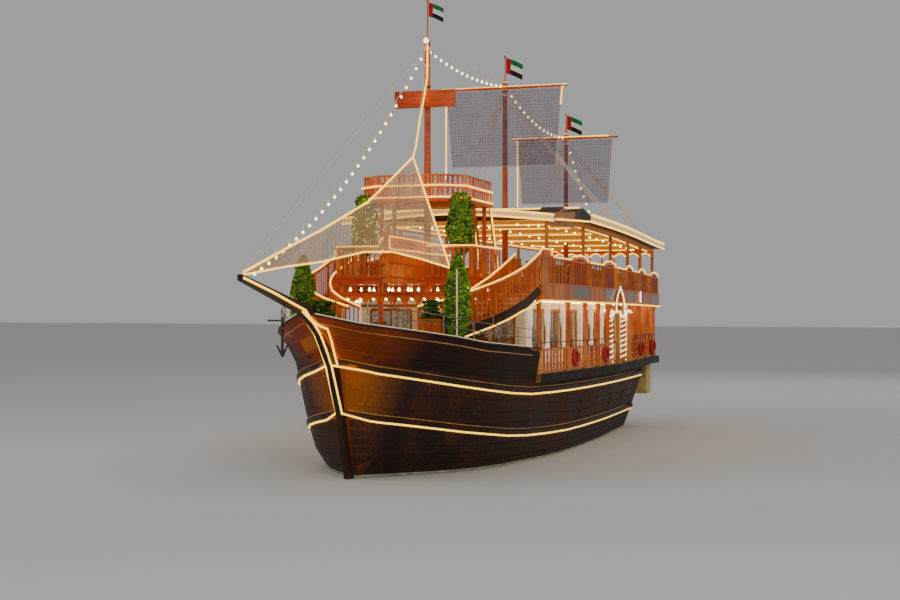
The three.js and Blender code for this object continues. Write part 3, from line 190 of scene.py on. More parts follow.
def skin_point(side, t, share, out=0.0):
    """A point of the hull's flat facets at a share of the height between the water and the sheer."""
    top = sheer_at(t)[1]
    lo = max(k for k in KNUCKLES[:-1] if k <= share)
    hi = KNUCKLES[KNUCKLES.index(lo) + 1]
    below, above = hull_point(side, t, lo * top, out), hull_point(side, t, hi * top, out)
    return below.lerp(above, (share - lo) / (hi - lo))


def strake_height(line, t):
    """Height of a strake's line at fraction t of the length."""
    z = 2.0
    for _ in range(8):
        z = at(line, station_at(t, z))
    return z


# Materials
def colour(code):
    """sRGB hex to linear RGBA."""
    parts = [int(code[i:i + 2], 16) / 255 for i in (1, 3, 5)]
    return (*[c / 12.92 if c <= 0.04045 else ((c + 0.055) / 1.055) ** 2.4 for c in parts], 1)


def add(tree, kind, sockets=None, stops=(), **settings):
    """Adds a node with its settings and links; a socket gets a value, or a link from another node's output.

    stops are the places and colours of a colour ramp."""
    made = tree.nodes.new(kind)
    for key, value in settings.items():
        setattr(made, key, value)
    while stops and len(made.color_ramp.elements) < len(stops):
        made.color_ramp.elements.new(0.5)
    for k, (place, code) in enumerate(stops):
        element = made.color_ramp.elements[k]
        element.position, element.color = place, colour(code)
    for key, value in (sockets or {}).items():
        if isinstance(value, bpy.types.NodeSocket):
            tree.links.new(value, made.inputs[key])
        else:
            made.inputs[key].default_value = value
    return made


def finish_material(name, base, roughness, **sockets):
    """A new material; base is its plain colour, sockets are set on the shader itself."""
    made = bpy.data.materials.new(name)
    made.use_nodes = True
    made.diffuse_color = colour(base)
    shader = made.node_tree.nodes["Principled BSDF"]
    shader.inputs["Base Color"].default_value = colour(base)
    shader.inputs["Roughness"].default_value = roughness
    for key, value in sockets.items():
        shader.inputs[key.replace("_", " ")].default_value = value
    return made, made.node_tree, shader


def timber(name, dark, middle, light, stretch, roughness=0.4, coat=0.15, bow=None):
    """Varnished wood: grain drawn out along one axis, broad patches of tone and worn, duller streaks.

    The grain has 14 bands in a metre across, coarser than real so that it shows.
    bow is a redder tone mixed into the grain next to the stem: painted warm light from the lamps near the
    stem."""
    made, tree, shader = finish_material(name, middle, roughness, Coat_Weight=coat, Coat_Roughness=0.25,
                                         Specular_IOR_Level=0.3)
    place = add(tree, "ShaderNodeTexCoord").outputs["Object"]
    drawn = add(tree, "ShaderNodeMapping", {"Vector": place, "Scale": stretch}).outputs["Vector"]
    fine = add(tree, "ShaderNodeTexNoise", {"Vector": drawn, "Scale": 14.0, "Detail": 5.0,
                                            "Roughness": 0.62})
    broad = add(tree, "ShaderNodeTexNoise", {"Vector": place, "Scale": 0.9, "Detail": 3.0})
    mixed = add(tree, "ShaderNodeMath", {0: fine.outputs["Fac"], 1: broad.outputs["Fac"]}, operation="ADD")
    half = add(tree, "ShaderNodeMath", {0: mixed.outputs[0], 1: 0.5}, operation="MULTIPLY")
    tone = add(tree, "ShaderNodeValToRGB", {"Fac": half.outputs[0]},
               [(0.34, dark), (0.5, middle), (0.66, light)]).outputs["Color"]
    tree.links.new(tone, shader.inputs["Base Color"])
    # Near the stem a redder tone is mixed into the grain: painted warm light, fading out aft
    if bow:
        split = add(tree, "ShaderNodeSeparateXYZ", {"Vector": place})
        near = add(tree, "ShaderNodeMapRange", {"Value": split.outputs["Y"], "From Min": STEM_GLOW_FADE[0],
                                                "From Max": STEM_GLOW_FADE[1], "To Min": 1.0, "To Max": 0.0})
        share = add(tree, "ShaderNodeMath", {0: near.outputs["Result"], 1: half.outputs[0]},
                    operation="MULTIPLY")
        redder = add(tree, "ShaderNodeMix", {0: share.outputs[0], 6: tone, 7: colour(bow)},
                     data_type="RGBA")
        tree.links.new(redder.outputs[2], shader.inputs["Base Color"])
    worn = add(tree, "ShaderNodeMapRange", {"Value": broad.outputs["Fac"], "From Min": 0.3, "From Max": 0.7,
                                            "To Min": roughness - 0.1, "To Max": roughness + 0.15})
    tree.links.new(worn.outputs["Result"], shader.inputs["Roughness"])
    bump = add(tree, "ShaderNodeBump", {"Height": fine.outputs["Fac"], "Strength": 0.25, "Distance": 0.004})
    tree.links.new(bump.outputs["Normal"], shader.inputs["Normal"])
    return made


def boarded(name, dark, middle, light, axis, wide, roughness=0.4, seam="#140c07"):
    """Varnished boards `wide` metres apart across an axis, with dark caulked seams 8 % of their width."""
    made = timber(name, dark, middle, light, (1, 0.08, 1) if axis != 1 else (0.08, 1, 0.08), roughness)
    tree = made.node_tree
    shader = tree.nodes["Principled BSDF"]
    place = next(n for n in tree.nodes if n.bl_idname == "ShaderNodeTexCoord").outputs["Object"]
    split = add(tree, "ShaderNodeSeparateXYZ", {"Vector": place})
    scaled = add(tree, "ShaderNodeMath", {0: split.outputs[axis], 1: 1 / wide}, operation="MULTIPLY")
    part = add(tree, "ShaderNodeMath", {0: scaled.outputs[0]}, operation="FRACT")
    centred = add(tree, "ShaderNodeMath", {0: part.outputs[0], 1: 0.5}, operation="SUBTRACT")
    away = add(tree, "ShaderNodeMath", {0: centred.outputs[0]}, operation="ABSOLUTE")
    open_seam = add(tree, "ShaderNodeMath", {0: away.outputs[0], 1: 0.46}, operation="GREATER_THAN")
    tone = add(tree, "ShaderNodeMath", {0: scaled.outputs[0]}, operation="FLOOR")
    board = add(tree, "ShaderNodeTexWhiteNoise", {"W": tone.outputs[0]}, noise_dimensions="1D")
    shade = add(tree, "ShaderNodeMapRange", {"Value": board.outputs["Value"], "To Min": 0.75,
                                             "To Max": 1.15})
    old = shader.inputs["Base Color"].links[0].from_socket
    shaded = add(tree, "ShaderNodeVectorMath", {0: old, "Scale": shade.outputs["Result"]},
                 operation="SCALE")
    seamed = add(tree, "ShaderNodeMix", {0: open_seam.outputs[0], 6: shaded.outputs[0], 7: colour(seam)},
                 data_type="RGBA")
    tree.links.new(seamed.outputs[2], shader.inputs["Base Color"])
    return made


def paint(name, base, shade, roughness):
    """Brushed paint: faint patches, grime and brush relief."""
    made, tree, shader = finish_material(name, base, roughness)
    place = add(tree, "ShaderNodeTexCoord").outputs["Object"]
    patches = add(tree, "ShaderNodeTexNoise", {"Vector": place, "Scale": 2.2, "Detail": 6.0,
                                               "Roughness": 0.6})
    tone = add(tree, "ShaderNodeValToRGB", {"Fac": patches.outputs["Fac"]}, [(0.35, shade), (0.6, base)])
    tree.links.new(tone.outputs["Color"], shader.inputs["Base Color"])
    brushed = add(tree, "ShaderNodeTexNoise", {"Vector": place, "Scale": 60.0, "Detail": 2.0})
    bump = add(tree, "ShaderNodeBump", {"Height": brushed.outputs["Fac"], "Strength": 0.12,
                                        "Distance": 0.002})
    tree.links.new(bump.outputs["Normal"], shader.inputs["Normal"])
    return made


def metal(name, base, shade, roughness):
    """Bare metal with tarnished patches that are duller."""
    made, tree, shader = finish_material(name, base, roughness, Metallic=1.0)
    place = add(tree, "ShaderNodeTexCoord").outputs["Object"]
    patches = add(tree, "ShaderNodeTexNoise", {"Vector": place, "Scale": 9.0, "Detail": 5.0})
    tone = add(tree, "ShaderNodeValToRGB", {"Fac": patches.outputs["Fac"]}, [(0.38, shade), (0.58, base)])
    tree.links.new(tone.outputs["Color"], shader.inputs["Base Color"])
    dull = add(tree, "ShaderNodeMapRange", {"Value": patches.outputs["Fac"], "To Min": roughness + 0.2,
                                            "To Max": roughness})
    tree.links.new(dull.outputs["Result"], shader.inputs["Roughness"])
    return made


def cloth(name, base, shade, threads=90.0, **sockets):
    """Plain woven cloth; real threads are finer than these, which are drawn coarse enough to show."""
    made, tree, shader = finish_material(name, base, 0.85, **sockets)
    place = add(tree, "ShaderNodeTexCoord").outputs["Object"]
    weave = add(tree, "ShaderNodeTexWave", {"Vector": place, "Scale": threads, "Distortion": 1.5})
    patches = add(tree, "ShaderNodeTexNoise", {"Vector": place, "Scale": 3.0, "Detail": 4.0})
    tone = add(tree, "ShaderNodeValToRGB", {"Fac": patches.outputs["Fac"]}, [(0.35, shade), (0.6, base)])
    tree.links.new(tone.outputs["Color"], shader.inputs["Base Color"])
    bump = add(tree, "ShaderNodeBump", {"Height": weave.outputs["Fac"], "Strength": 0.15,
                                        "Distance": 0.001})
    tree.links.new(bump.outputs["Normal"], shader.inputs["Normal"])
    return made


def glow(name, base, strength):
    """A lamp or light rope seen lit: its own light, of one colour."""
    made, _, shader = finish_material(name, base, 0.4, Emission_Strength=strength)
    shader.inputs["Emission Color"].default_value = colour(base)
    return made


def lit(made, code, strength):
    """The material as it looks with lamps close behind it or in front of it."""
    shader = made.node_tree.nodes["Principled BSDF"]
    shader.inputs["Emission Color"].default_value = colour(code)
    shader.inputs["Emission Strength"].default_value = strength
    return made


# Scales of the pattern that draw the grain out along the hull, upright and athwart
ALONG, UPRIGHT, ATHWART = (1, 0.07, 1), (1, 1, 0.07), (0.07, 1, 1)
# Between these places on the Y axis the painted warm light near the stem fades out
STEM_GLOW_FADE = (-11.5, -9.6)
FINISH = {
    # Teak of the topsides under many coats of dark varnish: nearly black, with warm streaks; the red-orange
    # streaks near the stem are painted light
    "topsides": timber("varnished_teak_dark", "#0f0806", "#20100a", "#3c1a0b", (1, 0.05, 1), 0.6, 0.0,
                       "#c2480d"),
    # The same teak between the strakes, thinner varnish and lighter streaks; the orange streaks near the
    # stem are painted light
    "planking": timber("varnished_teak_planking", "#1b0d07", "#35180b", "#5c2d11", (1, 1, 0.15), 0.6, 0.0,
                       "#ee8618"),
    # Oiled teak low on the hull, purple-brown with runs of rust and salt; the redder tone near the stem is
    # painted light
    "low_planking": timber("oiled_teak_planking", "#140b0a", "#2a1613", "#54301f", (1, 1, 0.12), 0.6, 0.0,
                           "#6c3520"),
    # Faded anti-fouling paint
    "bottom": paint("faded_antifouling_paint", "#6d5058", "#47323a", 0.7),
    "boot_line": paint("pale_boot_line_paint", "#b9bca2", "#85886f", 0.55),
    # Bright varnish on thin mouldings, lighter than the planks behind them
    "moulding": timber("bright_varnished_moulding", "#8a5a22", "#b8803a", "#dba65a", ALONG),
    # Oiled hardwood, weathered nearly black
    "stem": timber("oiled_dark_wood", "#160b07", "#2c170c", "#4d2813", (1, 1, 0.3), 0.5, 0.05),
    # Laid deck: boards of slightly different tone with dark caulked seams
    "deck": boarded("teak_deck_boards", "#6a3f1d", "#8d5a2c", "#b07c43", 0, 0.14),
    # Orange varnish on red wood, as bright as lamps behind it make it look
    "rails": timber("varnished_red_wood", "#a03c0c", "#da6717", "#f89a3f", UPRIGHT),
    "beam": timber("varnished_red_beam", "#9a2c0b", "#cf4a12", "#ea6d26", ATHWART),
    "boards": boarded("varnished_red_boards", "#b04a10", "#e6761f", "#ffa549", 1, 0.12),
    "dark_boards": timber("stained_door_boards", "#7a2c0a", "#b04a12", "#d9701f", UPRIGHT, 0.75, 0.0),
    # Warm brown varnish on turned and framed parts
    "teak": timber("varnished_teak", "#94501c", "#c0712c", "#e09a4c", UPRIGHT),
    "mast": timber("varnished_pine_mast", "#a83a10", "#d2561c", "#ec7f35", (1, 1, 0.05)),
    # Ceiling boards gold in the light of the strips below them
    "ceiling": lit(timber("oiled_ceiling_boards", "#b87a2c", "#e0a648", "#f4ca72", ALONG, 0.45, 0.3),
                   "#e0962c", 0.35),
    # Tarred boards, matt and dusty
    "roof": boarded("tarred_roof_boards", "#2c1a10", "#462a18", "#5f3c22", 0, 0.3, 0.6, "#0e0906"),
    # Cream paint, warm with the lamps near it
    "cream": lit(paint("cream_gloss_paint", "#f0e6ca", "#dccfa8", 0.4), "#ffdc9a", 0.15),
    "yellow": paint("pale_yellow_paint", "#dfc678", "#b8964a", 0.5),
    # Tubes of the guard rails, dulled by salt
    "steel": metal("satin_stainless_steel", "#a9a49d", "#6f6a66", 0.3),
    "iron": metal("galvanised_iron", "#5c6064", "#38302b", 0.5),
    "brass": metal("polished_brass", "#c79a45", "#8d6a2c", 0.22),
    # Thin white cotton, bright with the lamps behind it
    "curtain": lit(cloth("white_cotton_curtain", "#fbf7ec", "#e6dcc8"), "#ffe9c0", 0.3),
    # Hemp rope, pale in the light of the deck lamps
    "rope": lit(cloth("pale_hemp_rope", "#d8c2ae", "#b0937f", 40.0), "#e8c8b0", 0.3),
    "net": cloth("brown_net_twine", "#8d6c5c", "#5d4450", 40.0),
    # Fine net seen from afar: a haze that hides little, purple-brown, or cream where light ropes are near
    "gauze": cloth("net_gauze", "#8d6f7c", "#6b5265", 60.0, Alpha=0.3),
    "jib_gauze": lit(cloth("lit_net_gauze", "#e8cfa4", "#c9a98a", 60.0, Alpha=0.28), "#f0c078", 0.3),
    # Window glass, slightly warm
    "glass": finish_material("window_glass", "#d8d8c8", 0.06, Transmission_Weight=0.85, IOR=1.45,
                             Alpha=0.5)[0],
    # Smoked panes, dark enough to hide the beam behind them
    "smoked": finish_material("smoked_screen_glass", "#7f7265", 0.25)[0],
    # Lamps and light ropes in their own warm light
    "light_rope": glow("warm_light_rope", "#ffc93c", 2.4),
    "white_rope": glow("white_light_rope", "#ffe9bc", 2.4),
    "bulb": glow("warm_bulb", "#ffe2a4", 4.0),
    "lamp": glow("strong_warm_lamp", "#ffd08a", 16.0),
    "red_ring": paint("red_life_ring_canvas", "#c9241a", "#97170f", 0.55),
    # Waxy leaves, dark and young; where the dark green covers the cores of the garlands and potted trees it
    # is painted shade of the gaps in the foliage
    "leaves": paint("waxy_green_leaves", "#55831a", "#2f5610", 0.5),
    "young_leaves": paint("young_green_leaves", "#a9c92e", "#7ba522", 0.5),
    "terracotta": paint("terracotta", "#b4582f", "#7f3a1f", 0.8),
}
FLAG = {c: cloth("flag_bunting_" + c, code, code, 70.0) for c, code in
        {"red": "#c01823", "green": "#0d7a3c", "white": "#f1eee8", "black": "#17171a"}.items()}


# Profiles of a round lamp and of a bulb below its socket, as rows of (radius, height)
GLOBE = [(0.4, -1), (1, -0.4), (1, 0.3), (0.5, 1)]
BULB = [(0.3, -0.9), (0.85, -0.5), (1.0, 0), (0.8, 0.55), (0.4, 0.9)]


# Modelling helpers
def bare():
    """Object mode with nothing selected."""
    if bpy.context.object and bpy.context.object.mode != "OBJECT":
        bpy.ops.object.mode_set(mode="OBJECT")
    bpy.ops.object.select_all(action="DESELECT")


def chosen(*pieces):
    """Object mode with only these pieces selected, the first of them active."""
    bare()
    for piece in pieces:
        piece.select_set(True)
    bpy.context.view_layer.objects.active = pieces[0]


def turned(profile, sides=10):
    """A turned piece about the z axis: rows of (radius, height), drawn out ring by ring from the lowest."""
    bare()
    (r0, z0), rest = profile[0], profile[1:]
    bpy.ops.mesh.primitive_circle_add(vertices=sides, radius=r0, fill_type="NGON", location=(0, 0, z0))
    made = bpy.context.object
    bpy.ops.object.mode_set(mode="EDIT")
    radius, height = r0, z0
    for r, z in rest:
        bpy.ops.mesh.extrude_region_move(TRANSFORM_OT_translate={"value": (0, 0, z - height)})
        bpy.ops.transform.resize(value=(r / radius, r / radius, 1), center_override=(0, 0, z))
        radius, height = r, z
    bpy.ops.mesh.select_all(action="SELECT")
    bpy.ops.mesh.normals_make_consistent(inside=False)
    bpy.ops.object.mode_set(mode="OBJECT")
    bpy.ops.object.transform_apply(location=True, rotation=True, scale=True)
    return made


def block(size=(1, 1, 1), round_by=0.0):
    """A block centred on the origin, its edges rounded."""
    bare()
    bpy.ops.mesh.primitive_cube_add(size=1)
    made = bpy.context.object
    made.scale = size
    bpy.ops.object.transform_apply(location=True, rotation=True, scale=True)
    if round_by:
        bpy.ops.object.mode_set(mode="EDIT")
        bpy.ops.mesh.select_all(action="SELECT")
        bpy.ops.mesh.bevel(offset=round_by, segments=1, affect="EDGES")
        bpy.ops.object.mode_set(mode="OBJECT")
    return made


def repeat(model, places, name):
    """One mesh with a copy of the model at each matrix. The model itself goes."""
    verts, faces = [], []
    for m in places:
        base, turned_over = len(verts), m.determinant() < 0
        verts += [m @ v.co for v in model.data.vertices]
        for face in model.data.polygons:
            row = [base + i for i in face.vertices]
            faces.append(row[::-1] if turned_over else row)
    bpy.data.objects.remove(model)
    return built(name, verts, faces)


def built(name, verts, faces):
    """A new mesh object from points and faces."""
    mesh = bpy.data.meshes.new(name)
    mesh.from_pydata(verts, [], faces)
    mesh.validate()
    made = bpy.data.objects.new(name, mesh)
    bpy.context.scene.collection.objects.link(made)
    return made


def spar(p, q, wide, high):
    """Matrix that lays a unit block from p to q, its sides plumb."""
    along = q - p
    across = Vector((0, 0, 1)).cross(along)
    across = Vector((1, 0, 0)) if across.length < 1e-6 else across.normalized()
    up = along.cross(across).normalized()
    m = Matrix((along, across * wide, up * high)).transposed().to_4x4()
    m.translation = (p + q) / 2
    return m


def athwart(x0, x1, s, z, wide, high, place=upper):
    """Matrix of a block from side to side."""
    return spar(place(x0, s, z), place(x1, s, z), wide, high)


def upright(x, s, z0, z1, wide, thick, place=upper):
    """Matrix of a block from z0 up to z1."""
    return spar(place(x, s, z0), place(x, s, z1), wide, thick)


def spot(p, size=1.0):
    """Matrix that sets a model at a point, at a size."""
    return Matrix.Translation(p) @ Matrix.Scale(size, 4)


def tube(lines, radius, name, sides=2):
    """Round tubes along lines of points, as one mesh."""
    curve = bpy.data.curves.new(name, "CURVE")
    curve.dimensions, curve.bevel_depth, curve.bevel_resolution = "3D", radius, sides - 1
    curve.use_fill_caps = True
    for line in lines:
        spline = curve.splines.new("POLY")
        spline.points.add(len(line) - 1)
        for knot, place in zip(spline.points, line):
            knot.co = (*place, 1)
    made = bpy.data.objects.new(name, curve)
    bpy.context.scene.collection.objects.link(made)
    chosen(made)
    bpy.ops.object.convert(target="MESH")
    return bpy.context.object


def loft(name, rows, closed=True):
    """Skin over rows of as many points each; where closed, each row is a ring and both ends are capped."""
    n, verts, faces = len(rows[0]), [p for row in rows for p in row], []
    for i in range(len(rows) - 1):
        for j in range(n if closed else n - 1):
            k = (j + 1) % n
            faces.append([i * n + j, i * n + k, (i + 1) * n + k, (i + 1) * n + j])
    if closed:
        faces += [list(range(n))[::-1], [(len(rows) - 1) * n + j for j in range(n)]]
    return built(name, verts, faces)


def joined(name, pieces):
    """Several pieces as one."""
    chosen(*pieces)
    bpy.ops.object.join()
    bpy.context.object.name = name
    return bpy.context.object


def outward(piece):
    """Turns every face of closed shapes outwards."""
    chosen(piece)
    bpy.ops.object.mode_set(mode="EDIT")
    bpy.ops.mesh.select_all(action="SELECT")
    bpy.ops.mesh.normals_make_consistent(inside=False)
    bpy.ops.object.mode_set(mode="OBJECT")
    return piece


def fitted(piece, material, body="dhow", smooth=None):
    """Gives a finished piece its material, shading and body."""
    piece.data.materials.clear()
    piece.data.materials.append(material)
    chosen(piece)
    if smooth:
        bpy.ops.object.shade_smooth_by_angle(angle=math.radians(smooth))
    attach(piece, body)
    return piece


def copies(name, model, places, look, smooth=None):
    """A finished piece made of copies of a model."""
    return fitted(repeat(model, places, name), FINISH[look], smooth=smooth)


def blocks(name, places, look, round_by=0.0):
    return copies(name, block((1, 1, 1), round_by), places, look)


def tubes(name, lines, radius, look, smooth=None, sides=2):
    return fitted(tube(lines, radius, name, sides), FINISH[look], smooth=smooth)


def plates(name, shapes, look):
    """A finished piece made of closed shapes."""
    return fitted(outward(joined(name, shapes)), FINISH[look])


def lights(name, lines, body="dhow", radius=0.032):
    return fitted(tube(lines, radius, name), FINISH["light_rope"], body, smooth=60)


def both(make):
    """The same lines on both sides."""
    return [line for side in BOTH for line in make(side)]


# CAD nodes keep their shapes and get real finishes
def dress_nodes():
    """Gives each node its finish; an asterisk stands for port and starboard."""
    groups = {
        "planking": "hull",
        "stem": "stem_and_rails rudder",
        "deck": "main_deck engine_hatch upper_deck",
        "roof": "roof",
        "cream": "saloon",
        "glass": "saloon_glass",
        "yellow": "stern_gallery",
        "dark_boards": "aft_door saloon_door_*",
        "boards": "screen_*",
        "beam": "balcony top_balcony sign_board",
        "rails": "stern_screen balcony_front top_fence helm arcade_* stairs_* stair_rail_outer_* "
                 "stair_rail_inner_*",
        "teak": "ladder ship_wheel stair_landing portal_* roof_posts_*",
        "mast": "foremast main_mast mizzen_mast main_yard mizzen_yard",
        "rope": "stays main_shrouds mizzen_shrouds",
        "gauze": "main_net mizzen_net",
        "jib_gauze": "jib_net",
        "steel": "guard_rail_*",
        "iron": "windlass windlass_drum anchor engine",
        "brass": "propeller",
        # The garland and tree cores take the dark green as painted shade inside the foliage
        "leaves": "garland_* potted_tree_*",
    }
    looks = {name.replace("*", side): look for look, names in groups.items()
             for name in names.split() for side in SIDES}
    for name, node in nodes.items():
        node.data.materials.clear()
        node.data.materials.append(FINISH[looks[name]])


# Hull
def planking():
    """Planks laid on the hull, each a closed strip 18 mm proud, with open seams between them."""
    shares = [0, 0.022, 0.075, 0.15, 0.205, 0.26, 0.316, 0.372, 0.46, 0.56, 0.657, 0.74, 0.806, 0.9, 1.0]
    bands = {"boot_line": shares[:2], "low_planking": shares[1:8], "planking": shares[7:12],
             "topsides": shares[11:]}
    seam, sunk, proud = 0.003, -0.005, 0.018
    for look, row in bands.items():
        strips = []
        for lo, hi in pairs(row):
            a, b = lo + seam, hi - seam
            for side in BOTH:
                strips.append(loft("strip", [[skin_point(side, t, share, out) for share, out in
                                              ((a, sunk), (a, proud), (b, proud), (b, sunk))]
                                             for t in HULL_STATIONS]))
        piece = outward(joined("planks_" + look, strips))
        trim_to_deck(piece)
        fitted(piece, FINISH[look], smooth=35)


def trim_to_deck(piece):
    """Cuts away what of the planks would stand above the main deck aft of the break."""
    bare()
    aft = piece.copy()
    aft.data = piece.data.copy()
    bpy.context.scene.collection.objects.link(aft)
    y, deck_underside = BREAK - ORIGIN_STATION, 2.795
    for part, cuts in ((piece, [((0, y, 0), (0, 1, 0))]),
                       (aft, [((0, y, 0), (0, -1, 0)), ((0, 0, deck_underside), (0, 0, 1))])):
        chosen(part)
        bpy.ops.object.mode_set(mode="EDIT")
        for co, no in cuts:
            bpy.ops.mesh.select_all(action="SELECT")
            bpy.ops.mesh.bisect(plane_co=co, plane_no=no, use_fill=True, clear_outer=True)
        bpy.ops.object.mode_set(mode="OBJECT")
    chosen(piece, aft)
    bpy.ops.object.join()


def bottom_planks():
    """Painted skin below the water, 10 mm thick, from the keel up to the waterline."""
    depths, out = [1, 0.75, 0.45, 0.2, 0.0], 0.022
    skins = []
    for side in BOTH:
        rows = [[hull_point(side, t, share * at(KEEL_LINE, t * TRANSOM), out) for share in depths]
                for t in HULL_STATIONS]
        skins.append(loft("skin", rows, closed=False))
    piece = joined("bottom_skin", skins)
    thicken = piece.modifiers.new("thick", "SOLIDIFY")
    thicken.thickness = 0.01
    thicken.offset = 0
    chosen(piece)
    bpy.ops.object.modifier_apply(modifier="thick")
    fitted(outward(piece), FINISH["bottom"], smooth=40)


def hull_lights():
    """Light ropes below both strakes, down both edges of the stem and, to port, along the prow."""
    def strake(side, line, s, z):
        return [point(side * 0.11, s, z), *(hull_point(side, t, strake_height(line, t) - 0.04, 0.06)
                                            for t in [0.012, *HULL_STATIONS[1:-1], 0.955, 0.99])]
    stem = [(-0.93, 2.1), (-1.3, 2.85), (-1.7, 3.66), (-2.1, 4.2), (-2.5, 4.66), (-3.0, 5.03), (-3.7, 5.36)]
    prow = [(0.1, -7.36, 6.32), (0.11, -5.6, 5.92), (0.12, -4.22, 5.56), (0.15, -3.6, 5.39),
            (0.15, -3.15, 5.07), (0.24, -2.9, 4.93), (0.44, -2.7, 4.815), (0.29, -2.1, 4.44),
            (0.155, -1.6, 3.99), (0.125, -1.33, 3.68)]
    runs = both(lambda side: [strake(side, UPPER_STRAKE, -1.62, 3.66),
                              strake(side, LOWER_STRAKE, -0.97, 2.13)])
    runs += both(lambda side: [[point(side * 0.1, s - 0.01, z) for s, z in stem]])
    runs.append([point(*p) for p in prow])
    lights("hull_light_ropes", runs, radius=0.034)


def strake_trim():
    """Varnished mouldings above the strakes and along the bulwark, a pale one on the cap rail's edge."""
    runs = both(lambda side: [[hull_point(side, t, strake_height(line, t) + 0.2, 0.03)
                               for t in HULL_STATIONS[:-1]] for line in (UPPER_STRAKE, LOWER_STRAKE)])
    runs += both(lambda side: [[hull_point(side, t, sheer_at(t)[1] - 0.22, 0.03)
                                for t in HULL_STATIONS if sheer_at(t)[0] < BREAK - 0.6]])
    tubes("strake_mouldings", runs, 0.022, "moulding", 50)
    row = [sheer_at(t) for t in HULL_STATIONS if sheer_at(t)[0] < BREAK - 0.2]
    caps = both(lambda side: [[point(side * (edge(s) + 0.055), s, z + 0.075) for s, z in row]])
    tubes("cap_rail_mouldings", caps, 0.02, "cream", 50)


def scuppers():
    """Hawse plates forward and freeing slots aft on each side."""
    model = block((0.34, 0.05, 0.12), 0.015)
    places = []
    for side in BOTH:
        for s, z in ((2.9, 1.97), (6.9, 1.62)):
            t = (s - at(STEM_LINE, z)) / (TRANSOM - at(STEM_LINE, z))
            p, q = hull_point(side, t - 0.005, z, 0.02), hull_point(side, t + 0.005, z, 0.02)
            places.append(spar(p + (p - q) * 0.1, q, 1, 1) @ Matrix.Diagonal((1.4, 0.9, 1, 1)))
    copies("hawse_plates", model, places, "iron")
    slots = []
    for side in BOTH:
        for s in (12.6, 15.2, 17.8, 20.6):
            t = (s - at(STEM_LINE, 1.65)) / (TRANSOM - at(STEM_LINE, 1.65))
            p = hull_point(side, t, 1.42, 0.02)
            q = hull_point(side, t, 1.92, 0.02)
            slots.append(spar(p, q, 0.1, 0.05))
    blocks("freeing_slots", slots, "iron", 0.05)


# Main deck
def slat_run(side, a, b, z0, z1, gap, wide, thick):
    """Matrices of upright slats along the deck's edge from station a to b."""
    count = max(2, round((b - a) / gap))
    return [upright(side * edge(s, -0.12), s, z0, z1, wide, thick)
            for s in steps(a + gap / 2, b - gap / 2, count)]


def deck_balustrades():
    """Balusters between the columns, two middle rails, a dark tube rail above and life rings outside."""
    slats, rails, pipes = [], [], []
    for side in BOTH:
        for a, b in ((7.2, 16.1), (20.7, 27.3)):
            slats += slat_run(side, a, b, 3.15, 3.94, 0.37, 0.06, 0.06)
            row = steps(a, b, 8)
            for z in (3.42, 3.68):
                rails += [spar(rim(side, s, z, -0.09), rim(side, e, z, -0.09), 0.03, 0.04)
                          for s, e in pairs(row)]
            pipes.append([rim(side, s, 4.2, -0.06) for s in row])
            pipes += [[rim(side, s, 3.95, -0.06), rim(side, s, 4.2, -0.06)] for s in row]
    blocks("deck_balustrade_slats", slats + rails, "rails", 0.08)
    tubes("deck_tube_rails", pipes, 0.02, "iron", 50)
    bare()
    bpy.ops.mesh.primitive_torus_add(major_radius=0.27, minor_radius=0.075, major_segments=24,
                                     minor_segments=8)
    rings = []
    for side in BOTH:
        for s in (10.9, 15.3, 23.1, 26.4):
            p = rim(side, s, 3.58, 0.02)
            rings.append(spot(p) @ Matrix.Rotation(math.radians(90), 4, "Y"))
    copies("life_rings", bpy.context.object, rings, "red_ring", smooth=60)


def deck_edge():
    """Dark boards over the main deck's edge, round the sides and the stern."""
    row, half = [BREAK + 0.02, *steps(8.0, 27.9, 16)], edge(28.0, 0.03)
    boards = []
    for z, thick, high in ((2.95, 0.03, 0.29), (3.08, 0.07, 0.05)):
        for side in BOTH:
            line = [point(side * edge(s, 0.03), s, z) for s in row]
            boards += [spar(p, q, thick, high) for p, q in pairs(line)]
        boards.append(athwart(-half, half, 28.05, z, thick, high, point))
    blocks("deck_edge_boards", boards, "topsides")


def aft_screens():
    """Aft of the portal: boarded panels below and a few broad slats above."""
    slats, panels = [], []
    for side in BOTH:
        slats += slat_run(side, 20.7, 27.3, 3.98, 5.7, 0.55, 0.1, 0.04)
        for a, b in zip(COLUMNS[5:], COLUMNS[6:]):
            ends = [upper(side * edge(s, -0.2), s + gap, 3.55) for s, gap in ((a, 0.1), (b, -0.1))]
            panels.append(spar(*ends, 0.02, 0.8))
    blocks("aft_louvres", slats, "boards")
    blocks("aft_panels", panels, "boards")


def columns():
    """Turned bases and capitals on the deck columns."""
    profile = [(1.5, 0), (1.5, 0.06), (1.1, 0.1), (1.35, 0.16), (1.0, 0.2)]
    model = turned([(0.09 * r, z) for r, z in profile], 12)
    places = []
    for side in BOTH:
        for s in COLUMNS:
            x = side * edge(s, -0.12)
            places.append(spot(upper(x, s, DECK)))
            places.append(spot(upper(x, s, 5.7)) @ Matrix.Diagonal((0.92, 0.92, -1, 1)))
    copies("column_bases_and_capitals", model, places, "teak", 40)


